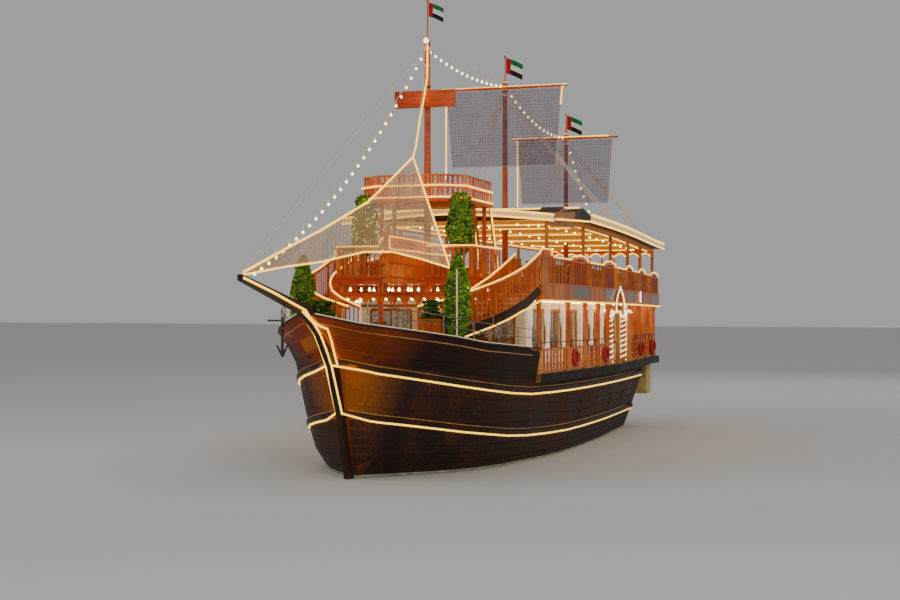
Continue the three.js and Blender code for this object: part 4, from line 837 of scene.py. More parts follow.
def fascia():
    """Panels over the upper deck's edge, smoked panes under the arched doors, a light rope below them."""
    runs, boards, panes = [], [], []
    for side in BOTH:
        runs.append([rim(side, s, EDGE_ROPE, 0.09) for s in steps(BREAK, 28.0, 14)])
        for (s, kind), (e, _) in pairs(SCREEN):
            ends = [rim(side, k, EDGE_MIDDLE, 0.058) for k in (s + 0.06, e - 0.06)]
            (panes if kind == "arch" else boards).append(spar(*ends, 0.02, 0.5))
            for z in (LOW_MOULDING, TOP_MOULDING):
                boards.append(spar(rim(side, s, z, 0.065), rim(side, e, z, 0.065), 0.05, 0.05))
    half = edge(28.0, 0.02)
    boards += [athwart(-half, half, 28.06, z, thick, high) for z, thick, high in
               ((EDGE_MIDDLE, 0.02, 0.5), (LOW_MOULDING, 0.05, 0.05), (TOP_MOULDING, 0.05, 0.05))]
    runs.append([upper(x, 28.1, EDGE_ROPE) for x in (-half, half)])
    blocks("upper_deck_fascia", boards, "boards")
    blocks("fascia_panes", panes, "smoked")
    lights("fascia_light_ropes", runs, radius=0.034)


def portal_lights():
    """White light ropes on the portal: its pointed arch, two columns and palm leaves at their heads."""
    runs = []
    for side in BOTH:
        for s in PORTAL:
            x, turns, n = side * edge(s, -0.12), 9, 90
            runs.append([upper(x + 0.11 * math.cos(a), s + 0.11 * math.sin(a), 3.2 + 2.0 * i / n)
                         for i in range(n + 1) for a in [2 * math.pi * turns * i / n]])
            for k in range(6):
                a = 2 * math.pi * k / 6
                runs.append([upper(x + r * math.cos(a), s + r * math.sin(a), z)
                             for r, z in ((0.1, 5.05), (0.17, 5.32), (0.29, 5.42), (0.37, 5.28))])
        rise = [(0.02, 5.35), (0.02, 5.75), (0.24, 6.03), (0.8, 6.43), (1.36, 6.03), (1.58, 5.75),
                (1.58, 5.35)]
        runs.append([upper(side * (edge(16.55 + a, 0.1) + 0.06), 16.55 + a, z) for a, z in rise])
        runs += [[rim(side, s, 5.8, 0.1), rim(side, s, 6.35, 0.1)] for s in (22.3, 22.4)]
    tubes("portal_light_ropes", runs, 0.022, "white_rope", smooth=60)
    signs = [upright(side * edge(22.75, 0.09), 22.75, 5.85, 6.32, 0.03, 0.3) for side in BOTH]
    blocks("red_boards", signs, "red_ring", 0.05)


def folded(length, parts, turn):
    """Points of a level line of this length in folds; turn(i) is the direction of its part i."""
    x = y = 0.0
    line = [(x, y)]
    for i in range(parts):
        x += math.cos(turn(i)) * length / parts
        y += math.sin(turn(i)) * length / parts
        line.append((x, y))
    return line


def gathered(name, place, length, folds, swing, drop, rows=10):
    """A hanging cloth in folds; swing(v) is how far they turn at v, from 0 at the top to 1."""
    n, lines = folds * 8, []
    for v in steps(0, 1, rows):
        def turn(i, v=v):
            return swing(v) * math.sin(2 * math.pi * folds * (i + 0.5) / n)
        line = folded(length, n, turn)
        middle = line[-1][0] / 2
        lines.append([place(x - middle, y, -drop * v) for x, y in line])
    return loft(name, lines, closed=False)


def curtains():
    """White curtains tied back at the saloon's piers, hung from just under the upper deck."""
    piers = [7.95, 9.95, 11.85, 14.1, 16.05, 18.2, 20.15, 22.0, 23.95, 25.85]
    length, drop = 1.0, 2.2

    def tied(v):
        return 1.25 + 0.85 * math.exp(-((v - 0.55) / 0.2) ** 2)

    for name, side in SIDES.items():
        for k, s in enumerate(piers):
            def place(a, d, z, s=s, side=side):
                return upper(side * (saloon_half(s) + 0.04 + d), s + a, CURTAIN_TOP + z)
            piece = gathered(f"curtain_{name}_{k}", place, length, 5, tied, drop)
            fitted(piece, FINISH["curtain"], smooth=60)


# Upper deck
def screen_balusters():
    """Turned balusters before the side screens' openings, a dark board behind them as painted shade, and
    light ropes over the screens' tops.
    """
    profile = [(0.04, 0), (0.04, 0.05), (0.02, 0.09), (0.055, 0.22), (0.03, 0.33), (0.016, 0.39),
               (0.03, 0.45), (0.055, 0.58), (0.02, 0.72), (0.04, 0.77), (0.04, 0.84)]
    balusters, runs, shade_boards, posts = [], [], [], []
    for side in BOTH:
        line = []
        for (s, kind), (e, _) in pairs(SCREEN):
            def face(a, out, s=s, e=e, side=side):
                return side * ((edge(s) * (1 - a) + edge(e) * a) - 0.03 + out), s + (e - s) * a
            posts.append(spar(upper(*face(0, 0.05), 5.76), upper(*face(0, 0.05), 7.3), 0.1, 0.05))
            if kind == "rail":
                for a in (0.12, 0.31, 0.5, 0.69, 0.88):
                    balusters.append(spot(upper(*face(a, 0.05), 6.33)))
                # A dark board just behind the balusters' lower part: painted shade of the opening
                ends = [upper(*face(a, 0.03), 6.5) for a in (0.05, 0.95)]
                shade_boards.append(spar(*ends, 0.008, 0.34))
            top = SCREEN_TOP + (0.28 if kind == "plank" else 0.03)
            if kind == "arch":
                curve = [(0.02, SCREEN_TOP), (0.05, 7.32), (0.2, 7.4), (0.5, SCREEN_ARCH + 0.02),
                         (0.8, 7.4), (0.95, 7.32), (0.98, SCREEN_TOP)]
                line += [(*face(a, 0.05), z + 0.04) for a, z in curve]
            else:
                line += [(*face(a, 0.05), top) for a in (0, 1)]
        runs.append([upper(*p) for p in line])
    half = edge(27.9, -0.15)
    runs.append([upper(-half, 27.97, SCREEN_TOP + 0.03), upper(half, 27.97, SCREEN_TOP + 0.03)])
    copies("screen_balusters", turned(profile, 8), balusters, "teak", 40)
    blocks("screen_recesses", shade_boards, "dark_boards")
    blocks("screen_posts", posts, "rails", 0.02)
    lights("screen_light_ropes", runs, radius=0.028)


def arch_boards():
    """Dark boarded doors with rounded tops on the arched parts of the screens, inside a raised frame."""
    boards, frames = [], []
    for side in BOTH:
        for (s, kind), (e, _) in pairs(SCREEN):
            if kind != "arch":
                continue
            outline = [(0.1, 6.3), (0.9, 6.3), (0.9, 7.1), (0.82, 7.25), (0.66, 7.33), (0.5, 7.36),
                       (0.34, 7.33), (0.18, 7.25), (0.1, 7.1)]

            def on_door(a, z, out, s=s, e=e, side=side):
                return upper(side * (edge(s) * (1 - a) + edge(e) * a - 0.03 + out), s + (e - s) * a, z)
            inner = [on_door(a, z, 0.02) for a, z in outline]
            outer = [on_door(a, z, 0.034) for a, z in outline]
            boards.append(loft("door", [inner, outer]))
            frames.append(outer + outer[:1])
    plates("arched_doors", boards, "dark_boards")
    tubes("arched_door_frames", frames, 0.022, "rails", 50)


def roof_details():
    """Ceiling, joists and light strips under the canopy, eaves boards, gables and light ropes round it."""
    fore, slope, aft = [8.1, 9.2, 10.3], [10.3, 11.5, 12.4], [12.4, *steps(14.0, 28.3, 10)]
    row = fore + slope[1:] + aft[1:]
    ceiling, joists, eaves, brown, tarred, runs, bulbs, strips = [], [], [], [], [], [], [], []
    for s, e in pairs(row):
        ceiling.append(spar(upper(0, s, roof_under(s) - 0.015), upper(0, e, roof_under(e) - 0.015),
                            2 * edge((s + e) / 2, -0.3), 0.02))
    for s in steps(8.7, 27.9, 16):
        z = roof_under(s) - 0.07
        joists.append(athwart(-edge(s, -0.28), edge(s, -0.28), s, z, 0.06, 0.09))
        for x in (-0.6, 0, 0.6):
            bulbs.append(spot(upper(x * edge(s), s + 0.35, z - 0.06), 0.04))
    for s in steps(10.2, 27.2, 5):
        strips.append([rim(side, s, roof_under(s) - 0.13, -1.0) for side in (-1, 1)])
    for side in BOTH:
        strips.append([rim(side, s, roof_under(s) - 0.14, -0.55) for s in row[1:]])
        for part, group in ((fore, brown), (slope, tarred), (aft, eaves)):
            for s, e in pairs(part):
                p, q = [upper(side * edge(k, 0.165), k, (roof_under(k) + roof_top(k)) / 2) for k in (s, e)]
                group.append(spar(p, q, 0.025, 0.25))
        runs += [[rim(side, s, roof_under(s), 0.2) for s in row],
                 [rim(side, s, roof_top(s) + 0.03, 0.2) for s in aft]]
    half = edge(28.3, 0.15)
    eaves.append(athwart(-half, half, 28.315, 8.975, 0.025, 0.27))
    runs += [[upper(-half, 28.35, z), upper(half, 28.35, z)] for z in (8.85, 9.13)]
    runs.append([upper(-edge(11.5), 11.5, 9.33), upper(edge(11.5), 11.5, 9.33)])
    across = [(x, 9.02 - 0.3 * (abs(x) / 4.15) ** 1.5) for x in steps(-4.15, 4.15, 12)]
    section = ((0.01, 0.2), (0.01, 0), (0.04, 0), (0.04, 0.2))
    board = loft("canopy_front_board", [[point(x, 8.1 - d, z - drop) for d, drop in section]
                                        for x, z in across])
    runs += [[point(x, 8.1 - 0.06, z - drop) for x, z in across] for drop in (-0.02, 0.2)]
    gable = [(8.35, 8.8), (9.2, 9.13), (10.35, 8.86)]
    gables = [loft("gable", [[upper(side * x, s, z) for s, z in gable] for x in (4.131, 4.155)])
              for side in BOTH]
    fitted(outward(board), FINISH["cream"])
    plates("gable_boards", gables, "teak")
    blocks("canopy_ceiling", ceiling, "ceiling")
    blocks("canopy_joists", joists, "ceiling")
    blocks("canopy_eaves", eaves, "cream")
    blocks("fore_eaves", brown, "teak")
    blocks("sloping_eaves", tarred, "roof")
    lights("canopy_light_ropes", runs, radius=0.036)
    lights("ceiling_light_strips", strips, radius=0.03)
    copies("canopy_bulbs", turned([*BULB, (0.35, 1.5)], 8), bulbs, "lamp", smooth=60)


def far_arcade():
    """Scalloped valance with a light rope between the columns of the stern's arcade."""
    boards, runs, n = [], [], 8
    for k in range(n):
        x0, x1 = -2.4 + 4.8 * k / n, -2.4 + 4.8 * (k + 1) / n
        low = [(x0, 8.4)] + [(x0 + (x1 - x0) * u, 8.4 + 0.2 * math.sin(math.pi * u)) for u in
                             (0.12, 0.3, 0.5, 0.7, 0.88)] + [(x1, 8.4)]
        shape = low + [(x1, 8.66), (x0, 8.66)]
        boards.append(loft("scallop", [[upper(x, s, z) for x, z in shape] for s in (27.89, 27.94)]))
        runs += [[upper(x, s, z) for x, z in low] for s in (27.86, 27.97)]
    plates("scalloped_valance", boards, "rails")
    lights("valance_light_ropes", runs, radius=0.025)


# Fore balcony
def on_stairs(side, name, t, up=0.0, out=0.0):
    """A point on an edge of the stairs, t in rows of the table, `up` above the treads, `out` outboard."""
    x, s = (at([(i, p[k]) for i, p in enumerate(STAIRS[name])], t) for k in (0, 1))
    return point(side * (x + out), s - out * 0.5, at(list(enumerate(STAIRS["height"])), t) + up)


def stair_details():
    """Slats in the stair rails, a skirting on the stringers, and light ropes on rails and stringers."""
    slats, runs, skirts, nosings = [], [], [], []
    for side in BOTH:
        for name in ("outer", "inner"):
            slats += [spar(on_stairs(side, name, t, 0.02), on_stairs(side, name, t, 0.98), 0.035, 0.035)
                      for t in steps(0.15, 7.9, 34)]
            runs.append([on_stairs(side, name, t, 1.075) for t in steps(0.05, 8, 24)])
        runs[-2] += [upper(side * edge(7.15, 0.02), 7.15, 7.49)]
        foot = [on_stairs(side, "outer", t, -0.36 - max(0, t - 5.5) * 0.085, 0.055)
                for t in steps(0.15, 7.9, 20)]
        runs.append([*foot, rim(side, BREAK, EDGE_ROPE, 0.09)])
        line = [on_stairs(side, "outer", t, -0.2, 0.035) for t in steps(0.6, 7.9, 20)]
        skirts += [spar(p, q, 0.02, 0.34) for p, q in pairs(line)]
        for k in range(10):
            p, q = (on_stairs(side, name, 0.8 * k, -0.02) for name in ("outer", "inner"))
            nosings.append(spar(p, q, 0.05, 0.05))
    for k, z in enumerate((3.99, 4.13, 4.27, 4.4)):
        nosings.append(athwart(-1.25, 1.25, 1.25 + 0.3 * k, z, 0.05, 0.03, point))
    blocks("stair_slats", slats, "rails")
    blocks("stair_skirting", skirts, "stem")
    blocks("stair_nosings", nosings, "brass", 0.1)
    lights("stair_light_ropes", runs, radius=0.03)


def balcony_details():
    """Slats and light ropes on the balcony's rails, and wales, scroll and light ropes on the small bow."""
    slats, runs = [], []
    for side in BOTH:
        slats += [upright(side * x, 4.2, 6.42, 7.4, 0.06, 0.025) for x in steps(0.9, 2.42, 8)]
        slats += [upright(side * 2.5, s, 6.42, 7.4, 0.06, 0.03) for s in steps(4.35, 6.9, 9)]
        runs.append([upper(side * x, s, z) for x, s, z in
                     ((0.8, 4.15, 7.48), (2.54, 4.15, 7.48), (2.56, 6.97, 7.5))])
        for drop, end in ((0.0, (1.6, 4.1, 7.44)), (0.4, (1.75, 4.1, 7.13))):
            line = [(x, s, 7.58 + 0.14 * (4.15 - s) / 1.25 - drop * (0.9 if x > 0.5 else 1))
                    for x, s in SMALL_BOW]
            reach = [end] if side > 0 else []
            runs.append([upper(side * (x + 0.03), s - 0.03, z) for x, s, z in (*reach, *line)])
        runs.append([upper(side * 0.07, 2.84, 7.74), upper(side * 0.07, 2.84, 7.32)])
        slats.append(upright(side * 0.83, 4.12, 6.4, 7.62, 0.08, 0.05))
    blocks("balcony_slats", slats, "rails")
    wales = both(lambda side: [[upper(side * (x + 0.012), s - (0.03 if x < 0.1 else 0),
                                      z + 0.1 * (4.15 - s)) for x, s in SMALL_BOW]
                               for z in (6.3, 6.75, 7.05, 7.66)])
    tubes("small_bow_wales", wales, 0.022, "beam", 50)
    curl = [point(0, 2.72 - r * math.cos(a), 8.02 + r * math.sin(a)) for i in range(29)
            for a, r in [(2.6 * math.pi * i / 28, 0.2 * (1 - i / 36))]]
    tubes("bow_scroll", [[point(0, 2.9, 7.9), *curl]], 0.035, "cream", 60)
    lights("balcony_light_ropes", runs, radius=0.028)
    mould = [athwart(-2.64, 2.64, 4.135, z, 0.05, 0.05) for z in (6.22, 6.4)]
    mould += [spar(upper(side * 2.64, 4.15, z), upper(side * 2.64, 6.98, z), 0.05, 0.05) for side in BOTH
              for z in (6.22, 6.4)]
    blocks("balcony_beam_mouldings", mould, "beam")
    bulbs = [spot(point(x, s, 6.05), 0.05) for s in (4.6, 5.5, 6.6) for x in steps(-2.2, 2.2, 6)]
    copies("balcony_bulbs", turned([*BULB, (0.35, 1.8)], 8), bulbs, "lamp", smooth=60)


def balcony_valance():
    """Scalloped boards below the balcony, hung from a thin beam with lamps over it."""
    boards, beams, lamps, n = [], [], [], 10
    for s in (4.22, 6.7):
        beams.append(athwart(-2.45, 2.45, s, 5.9, 0.06, 0.1, point))
        for k in range(n):
            x0, x1 = -2.4 + 4.8 * k / n, -2.4 + 4.8 * (k + 1) / n
            low = [(x0 + (x1 - x0) * u, 5.52 + 0.26 * math.sin(math.pi * u) ** 0.7) for u in
                   (0, 0.08, 0.25, 0.5, 0.75, 0.92, 1)]
            boards.append(loft("scallop", [[point(x, y, z) for x, z in [*low, (x1, 5.9), (x0, 5.9)]]
                                           for y in (s - 0.015, s + 0.015)]))
            lamps.append(spot(point((x0 + x1) / 2, s + 0.12, 5.74), 0.045))
    plates("balcony_valance", boards, "rails")
    blocks("valance_beams", beams, "beam")
    copies("valance_lamps", turned(GLOBE, 10), lamps, "lamp", smooth=60)


def fence_details():
    """Upright boards with open gaps and two light ropes round the top balcony."""
    slats = []
    for (x0, s0), (x1, s1) in pairs(TOP_EDGE):
        n = round(math.hypot(x1 - x0, s1 - s0) / 0.19)
        for k in range(n):
            a = (k + 0.5) / n
            x, s = (x0 + (x1 - x0) * a) * 0.975, s0 + (s1 - s0) * a + 0.04
            turn = Matrix.Rotation(math.atan2(s1 - s0, x1 - x0), 4, "Z")
            p, q = upper(x, s, TOP_DECK + 0.03), upper(x, s, 9.9)
            size = Matrix.Diagonal((0.095, 0.02, (q - p).length, 1))
            slats.append(spot((p + q) / 2) @ turn @ size)
    blocks("fence_boards", slats, "rails")
    runs = [[upper(x * 1.01, s - 0.03, z) for x, s in TOP_EDGE] for z in (TOP_DECK - 0.02, 9.55)]
    runs += [[upper(x, 8.78, 6.3), upper(x, 7.62, 9.45)] for x in (1.15, 1.85)]
    lights("top_balcony_light_ropes", runs, radius=0.034)


# Rigging
def mast_details():
    """Iron bands, truck balls, a masthead lamp and a lit halyard on the masts."""
    bands, balls = [], []
    radii = {"foremast": (0.15, 0.1, FOREDECK), "main_mast": (0.14, 0.09, DECK),
             "mizzen_mast": (0.13, 0.08, DECK)}
    for name, (s, top, pole) in MASTS.items():
        foot, head, z0 = radii[name]
        for z in (top - 0.1, top - 1.6):
            r = foot + (head - foot) * (z - z0) / (top - z0)
            bands.append(spot(point(0, s, z)) @ Matrix.Diagonal((r + 0.008, r + 0.008, 0.06, 1)))
        balls.append(spot(point(0, s, pole)))
    copies("mast_bands", turned([(1, -0.5), (1, 0.5)], 20), bands, "iron", 40)
    ball = turned([(0.02, -0.05), (0.045, -0.02), (0.045, 0.02), (0.02, 0.05)], 10)
    copies("mast_trucks", ball, balls, "brass", 60)
    s = MASTS["foremast"][0]
    halyard = [(0.06, s - 0.14, 14.75), (0.06, 6.16, 13.58), (0.04, 5.95, 12.93), (0.16, 5.3, 12.1),
               (0.28, 4.6, 10.97)]
    lights("foremast_light_ropes", [[*(point(*p) for p in halyard), point(*JIB["luff"][-1])]])
    copies("masthead_lamp", turned(GLOBE, 12), [spot(point(0, s - 0.14, 14.88), 0.09)], "bulb", smooth=60)


def net_lines(corners, gap):
    """Twine lines of a net between four corners, both ways."""
    a, b, c, d = corners
    up, wide = ((d - a).length + (c - b).length) / 2, ((b - a).length + (c - d).length) / 2
    m, n = max(2, round(up / gap)), max(2, round(wide / gap))
    lines = [[a.lerp(d, i / m), b.lerp(c, i / m)] for i in range(m + 1)]
    return lines + [[a.lerp(b, k / n), d.lerp(c, k / n)] for k in range(n + 1)]


# Radius of the nets' twine, and the space between its lines below the yards
TWINE, NET_GAP = 0.004, 0.13


def yard_nets():
    """Nets of twine below the yards, with their bolt ropes and light ropes."""
    for name, (s, z, half, low, top, bottom) in YARDS.items():
        body = name + "_yard"
        head = z - 0.06
        corners = [point(-top, s, head), point(top, s, head), point(bottom, s, low), point(-bottom, s, low)]
        twine = tube(net_lines(corners, NET_GAP), TWINE, name + "_net_twine", 1)
        fitted(twine, FINISH["net"], body)
        bolt_rope = tube([corners + corners[:1]], 0.014, name + "_net_bolt_rope")
        fitted(bolt_rope, FINISH["rope"], body, 60)
        end = 0.02 if name == "main" else 0.45
        foot = point(-top, s, low - (0.45 if name == "main" else 0.1))
        runs = [[point(half - end, s, z + 0.07), point(-half + 0.02, s, z + 0.07), corners[0], foot]]
        if name == "main":
            runs[0] = [corners[1].lerp(corners[2], 0.22), corners[1], *runs[0]]
        lights(name + "_yard_light_ropes", runs, body, 0.034)


def jib():
    """Curved three-cornered net from the prow to the foremast, its edges outlined with light rope."""
    def on_edge(line, t):
        return point(*(at([(i, p[k]) for i, p in enumerate(JIB[line])], t) for k in range(3)))

    def on_net(t, v):
        return on_edge("luff", t).lerp(on_edge("foot", t), v)
    rows = len(JIB["luff"]) - 1
    lines = [[on_net(t, v) for t in range(rows + 1)] for v in steps(0, 1, 22)]
    lines += [[on_net(t, 0), on_net(t, 1)] for t in steps(0, 1, 26)[1:] + steps(1, rows, 60)]
    tubes("jib_twine", lines, TWINE, "net", sides=1)
    edges = [[on_net(t, v) for t in range(rows + 1)] for v in (0, 1)]
    lights("jib_light_ropes", [*edges, [on_net(rows, 0), on_net(rows, 1)]], radius=0.034)


def festoons():
    """Strings of bulbs on short cords between the mastheads, the prow and the stern, below the stays."""
    heads = [("foremast", 14.75), ("main_mast", 14.4), ("mizzen_mast", 13.05)]
    tops = [point(0, MASTS[name][0], z) for name, z in heads]
    spans = [(point(0, -7.2, 6.4), tops[0] + Vector((0, -0.15, 0)), 1.0), (tops[0], tops[1], 0.27),
             (tops[1], tops[2], 0.5), (tops[2], upper(0, 28.0, ROOF_TOP + 0.15), 0.3)]
    wires, bulbs, step, cord, reach = [], [], 0.26, 0.15, 0.19
    for a, b, sag in spans:
        n = round((b - a).length / step)
        line = [a.lerp(b, i / n) - Vector((0, 0, sag * 4 * (i / n) * (1 - i / n))) for i in range(n + 1)]
        wires.append(line)
        for p in line[1:-1:2]:
            wires.append([p, p - Vector((0, 0, cord))])
            bulbs.append(spot(p - Vector((0, 0, reach)), 0.048))
    tubes("festoon_wires", wires, 0.01, "rope", sides=1)
    model = turned([(0.3, -1.0), (0.8, -0.65), (1.0, 0), (0.8, 0.6), (0.4, 0.9), (0.25, 1.2)], 10)
    copies("festoon_bulbs", model, bulbs, "bulb", smooth=60)


def extra_rigging():
    """Thin shrouds between the mastheads and the canopy's edges."""
    shrouds = (("main_mast", 13.6, (17.6, 18.6, 19.6)), ("mizzen_mast", 12.4, (24.9, 25.9, 26.8)))
    lines = [[point(side * 0.1, MASTS[name][0], z), rim(side, s, ROOF_TOP, -0.1)]
             for name, z, feet in shrouds for side in BOTH for s in feet]
    tubes("thin_shrouds", lines, 0.013, "rope", sides=1)


def flags():
    """Drooping flags on the three poles: a red hoist, then green, white and black bands."""
    across, down = 28, 12
    for name, (s, _, pole) in MASTS.items():
        hoist = 0.5 if name == "foremast" else 0.62
        length, droop, lines = 1.53 * hoist, 0.45 * hoist, []
        for v in steps(0, 1, down):
            def turn(i, v=v):
                return 1.15 * math.sin(2 * math.pi * 2.6 * i / across + 0.7 * v)
            lines.append([point(0.04 + x, s + y, pole - 0.05 - hoist * v - droop * (i / across) ** 1.3)
                          for i, (x, y) in enumerate(folded(length, across, turn))])
        piece = loft("flag_" + name, lines, closed=False)
        fitted(piece, FLAG["red"])
        for key in ("green", "white", "black"):
            piece.data.materials.append(FLAG[key])
        for f, face in enumerate(piece.data.polygons):
            i, j = f % across, f // across
            face.material_index = 0 if i < across * 0.25 else 1 + min(2, j * 3 // down)
            face.use_smooth = True


# Planting and deck furniture
def leafy(places, centre, rows, count, size):
    """Adds matrices of leaves that cover the outside of an upright column of foliage."""
    x, s, place = centre
    for _ in range(count):
        z, a = rng.uniform(rows[0][0], rows[-1][0]), rng.uniform(0, 2 * math.pi)
        r = at(rows, z) * rng.uniform(0.95, 1.12) * (1 + 0.07 * math.sin(3 * a + 5 * z))
        m = (spot(place(x + r * math.cos(a), s + r * math.sin(a), z))
             @ Matrix.Rotation(a, 4, "Z") @ Matrix.Rotation(rng.uniform(0.9, 2.4), 4, "Y")
             @ Matrix.Rotation(rng.uniform(-1.0, 1.0), 4, "X") @ Matrix.Scale(rng.uniform(*size), 4))
        places[rng.random() < 0.6].append(m)


def leaf():
    """A pointed leaf folded along its middle."""
    bare()
    bpy.ops.mesh.primitive_plane_add(size=1)
    made = bpy.context.object
    bpy.ops.object.mode_set(mode="EDIT")
    bpy.ops.mesh.subdivide(number_cuts=1)
    bpy.ops.object.mode_set(mode="OBJECT")
    for v in made.data.vertices:
        x, y = v.co.x, v.co.y
        v.co = (x * (0.5 if abs(y) < 0.1 else 0.12), y, 0.12 * abs(x) * 2 - 0.1 * y * y)
    return made


def garlands():
    """Leaves of the hanging garlands and of the potted trees, with small lamps in the starboard garland."""
    leaves, lamps = ([], []), []
    hanging = [(7.2, 0.12), (7.45, 0.3), (8.0, 0.44), (8.6, 0.34), (9.15, 0.29), (9.3, 0.12)]
    tree = [(4.35, 0.1), (4.5, 0.22), (5.2, 0.38), (6.2, 0.35), (6.95, 0.15), (7.2, 0.02)]
    for side in BOTH:
        leafy(leaves, (side * GARLAND[0], GARLAND[1], upper), hanging, 1500, (0.1, 0.19))
        leafy(leaves, (side * TREE[0], TREE[1], point), tree, 1900, (0.1, 0.19))
    for _ in range(110):
        z, a = rng.uniform(7.4, 9.1), rng.uniform(0, 2 * math.pi)
        r = 1.15 * at(hanging, z)
        lamps.append(spot(upper(-GARLAND[0] + r * math.cos(a), GARLAND[1] + r * math.sin(a), z), 0.018))
    copies("dark_garland_leaves", leaf(), leaves[0], "leaves")
    copies("young_garland_leaves", leaf(), leaves[1], "young_leaves")
    copies("garland_lamps", turned([(0.4, -0.8), (1, -0.2), (1, 0.3), (0.4, 0.8)], 6), lamps, "bulb")


def sprigs(x, s, deep, count, reach, heights, tilts, sizes):
    """Matrices of leaves over a pot, `reach` out from its middle and `deep` times that fore and aft."""
    places = []
    for _ in range(count):
        a, r, z = rng.uniform(0, 6.3), rng.uniform(0, reach), rng.uniform(*heights)
        places.append(spot(point(x + r * math.cos(a), s + deep * r * math.sin(a), z))
                      @ Matrix.Rotation(a, 4, "Z") @ Matrix.Rotation(rng.uniform(*tilts), 4, "Y")
                      @ Matrix.Scale(rng.uniform(*sizes), 4))
    return places


def foredeck_fittings():
    """Bollards, pots, slatted planters with plants, and white poles on the foredeck."""
    model = turned([(0.13, 0), (0.13, 0.03), (0.08, 0.06), (0.08, 0.3), (0.12, 0.34), (0.12, 0.4),
                    (0.05, 0.44)], 14)
    places = [spot(point(side * x, s, FOREDECK)) for side in BOTH
              for x, s in ((1.0, -0.9), (2.0, 0.4))]
    copies("bollards", model, places, "iron", 50)
    model = turned([(0.2, 0), (0.24, 0.04), (0.3, 0.46), (0.34, 0.48), (0.34, 0.54), (0.3, 0.54),
                    (0.27, 0.5)], 18)
    pots = [spot(point(side * x, s, FOREDECK)) for side in BOTH for x, s in (TREE, SMALL_POT)]
    copies("plant_pots", model, pots, "terracotta", smooth=50)
    slats, places = [], []
    for side in BOTH:
        x, s = side * PLANTER[0], PLANTER[1]
        for k in range(9):
            for ds in (-0.22, 0.22):
                slats.append(upright(x - 0.36 + 0.09 * k, s + ds, FOREDECK, 5.05, 0.07, 0.02, point))
        for k in range(5):
            for dx in (-0.4, 0.4):
                slats.append(upright(x + dx, s - 0.18 + 0.09 * k, FOREDECK, 5.05, 0.02, 0.07, point))
        slats += [athwart(x - 0.42, x + 0.42, s + ds, 5.06, 0.05, 0.05, point) for ds in (-0.23, 0.23)]
        places += sprigs(x, s, 0.7, 260, 0.42, (4.95, 5.65), (-0.9, 1.0), (0.14, 0.3))
    for side in BOTH:
        places += sprigs(side * SMALL_POT[0], SMALL_POT[1], 1, 130, 0.3, (4.35, 4.9), (-0.6, 1.4),
                         (0.12, 0.22))
    blocks("planter_slats", slats, "rails")
    copies("plant_leaves", leaf(), places, "leaves")
    poles = [[point(side * 3.02, 1.5, 4.4), point(side * 3.02, 1.5, 6.7)] for side in BOTH]
    tubes("white_poles", poles, 0.03, "cream", 60)


def furniture():
    """Tables and chairs on the upper deck and in the saloon."""
    table, legs = [], []
    rows = [(s, UPPER, 0.62) for s in steps(9.8, 26.0, 9)] + [(s, DECK, 0.55) for s in steps(9.4, 24.0, 8)]
    for s, floor, share in rows:
        for side in BOTH:
            half = min(edge(s), 3.9 if floor == UPPER else 3.0 if s < 14 else 3.0 - 1.1 * (s - 14) / 12)
            x = side * half * share
            table.append(athwart(x - 0.45, x + 0.45, s, floor + 0.76, 0.8, 0.04))
            legs.append(spot(upper(x, s, floor + 0.01)) @ Matrix.Diagonal((1, 1, 0.74, 1)))
            for ds in (-0.75, 0.75):
                table.append(athwart(x - 0.22, x + 0.22, s + ds, floor + 0.46, 0.44, 0.04))
                table.append(athwart(x - 0.22, x + 0.22, s + ds * 1.28, floor + 0.75, 0.04, 0.5))
                table += [upright(x + dx, s + ds + dy, floor + 0.01, floor + 0.45, 0.04, 0.04)
                          for dx in (-0.19, 0.19) for dy in (-0.19, 0.19)]
    blocks("tables_and_chairs", table, "teak", 0.03)
    leg = turned([(0.25, 0), (0.25, 0.03), (0.05, 0.06), (0.05, 0.97), (0.2, 1.0)], 12)
    copies("table_legs", leg, legs, "dark_boards", 40)


def saloon_half(s):
    """Half width of the saloon's house at a station."""
    return 3.2 if s <= 14 else 3.2 - 1.15 * (s - 14) / 12.2


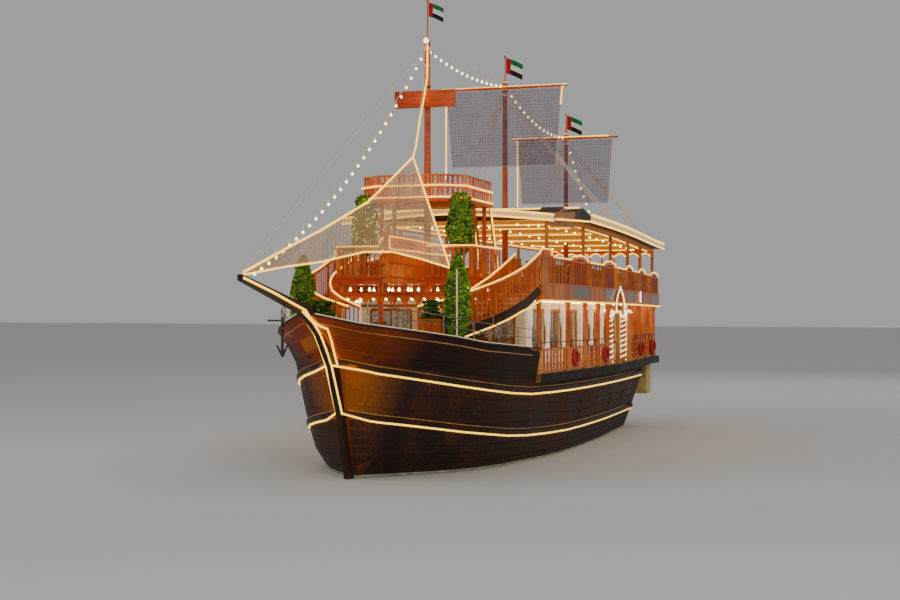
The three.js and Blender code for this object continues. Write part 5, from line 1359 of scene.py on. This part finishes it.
def saloon_details():
    """Frames round the saloon's windows and doors, and lamps inside it and under the deck above."""
    windows = [8.2, 10.1, 12.0, 14.3, 16.2, 18.4, 20.3, 22.2, 24.1]
    frames, lamps, runs = [], [], []
    for side in BOTH:
        openings = [[upper(side * (saloon_half(k) + 0.02), k, z) for k, z in
                     ((s, 3.9), (s + 1.6, 3.9), (s + 1.6, 5.35), (s, 5.35))] for s in windows]
        front = ((1.2, 3.9), (2.8, 3.9), (2.8, 5.35), (1.2, 5.35))
        openings.append([upper(side * x, 7.68, z) for x, z in front])
        for corners in openings:
            for a, b in pairs(corners + corners[:1]):
                frames.append(spar(a, b, 0.06, 0.09))
            frames.append(spar((corners[0] + corners[1]) / 2, (corners[2] + corners[3]) / 2, 0.05, 0.05))
        for z, high in ((3.2, 0.16), (5.5, 0.1)):
            frames.append(spar(upper(side * 0.9, 7.67, z), upper(side * 3.2, 7.67, z), 0.04, high))
        frames.append(spar(upper(side * 0.9, 7.67, 3.2), upper(side * 0.9, 7.67, 5.5), 0.05, 0.1))
        runs.append([upper(side * (saloon_half(s) + 0.45), s, 5.66) for s in steps(7.4, 26.5, 12)])
    for s in steps(8.6, 25.2, 16):
        lamps += [spot(upper(x * saloon_half(s), s, 5.86), 0.06) for x in (-0.7, -0.25, 0.25, 0.7)]
    blocks("window_frames", frames, "teak")
    shade = turned([(0.5, -0.6), (1, -0.3), (1, 0.3), (0.6, 1.0)], 8)
    copies("saloon_lamps", shade, lamps, "lamp", smooth=60)
    tubes("side_deck_light_strips", runs, 0.025, "lamp", smooth=60)


# Camera, floor and light
CAMERA_PLACE, CAMERA_TURN, FOCAL_LENGTH, FILM_WIDTH = (23.03, -59.38, 5.7), 21.7, 68.0, 36.0
# Place, power in watts and size of each lamp
SOFT_BOXES = [((34, -52, 30), 9000, 26), ((-34, -30, 34), 5000, 30), ((10, 60, 36), 5000, 30)]


def studio():
    """A plain pale floor, an even sky, three soft boxes and the camera at the photograph's angle."""
    bare()
    bpy.ops.mesh.primitive_plane_add(size=600)
    floor = bpy.context.object
    floor.name = "floor"
    floor.data.materials.append(finish_material("matt_studio_floor", "#cfcdc9", 0.9)[0])
    world = bpy.data.worlds.new("soft_studio")
    bpy.context.scene.world = world
    world.use_nodes = True
    light = world.node_tree.nodes["Background"].inputs
    light["Color"].default_value, light["Strength"].default_value = colour("#e6e6e8"), 0.5
    for place, power, size in SOFT_BOXES:
        lamp = bpy.data.lights.new("soft_box", "AREA")
        lamp.energy, lamp.size = power, size
        holder = bpy.data.objects.new("soft_box", lamp)
        bpy.context.scene.collection.objects.link(holder)
        holder.location = place
        holder.rotation_euler = (Vector((0, 0, 5)) - Vector(place)).to_track_quat("-Z", "Y").to_euler()
    lens = bpy.data.cameras.new("photo_camera")
    lens.lens, lens.sensor_width, lens.clip_end = FOCAL_LENGTH, FILM_WIDTH, 2000
    camera = bpy.data.objects.new("photo_camera", lens)
    bpy.context.scene.collection.objects.link(camera)
    camera.location = CAMERA_PLACE
    camera.rotation_euler = (math.radians(90), 0, math.radians(CAMERA_TURN))
    bpy.context.scene.camera = camera


dress_nodes()
for make in (planking, bottom_planks, hull_lights, strake_trim, scuppers, deck_balustrades, deck_edge,
             aft_screens, columns, fascia, portal_lights, curtains, screen_balusters, arch_boards,
             roof_details, far_arcade, stair_details, balcony_details, balcony_valance, fence_details,
             mast_details, yard_nets, jib, festoons, extra_rigging, flags, garlands, foredeck_fittings,
             furniture, saloon_details, studio):
    make()
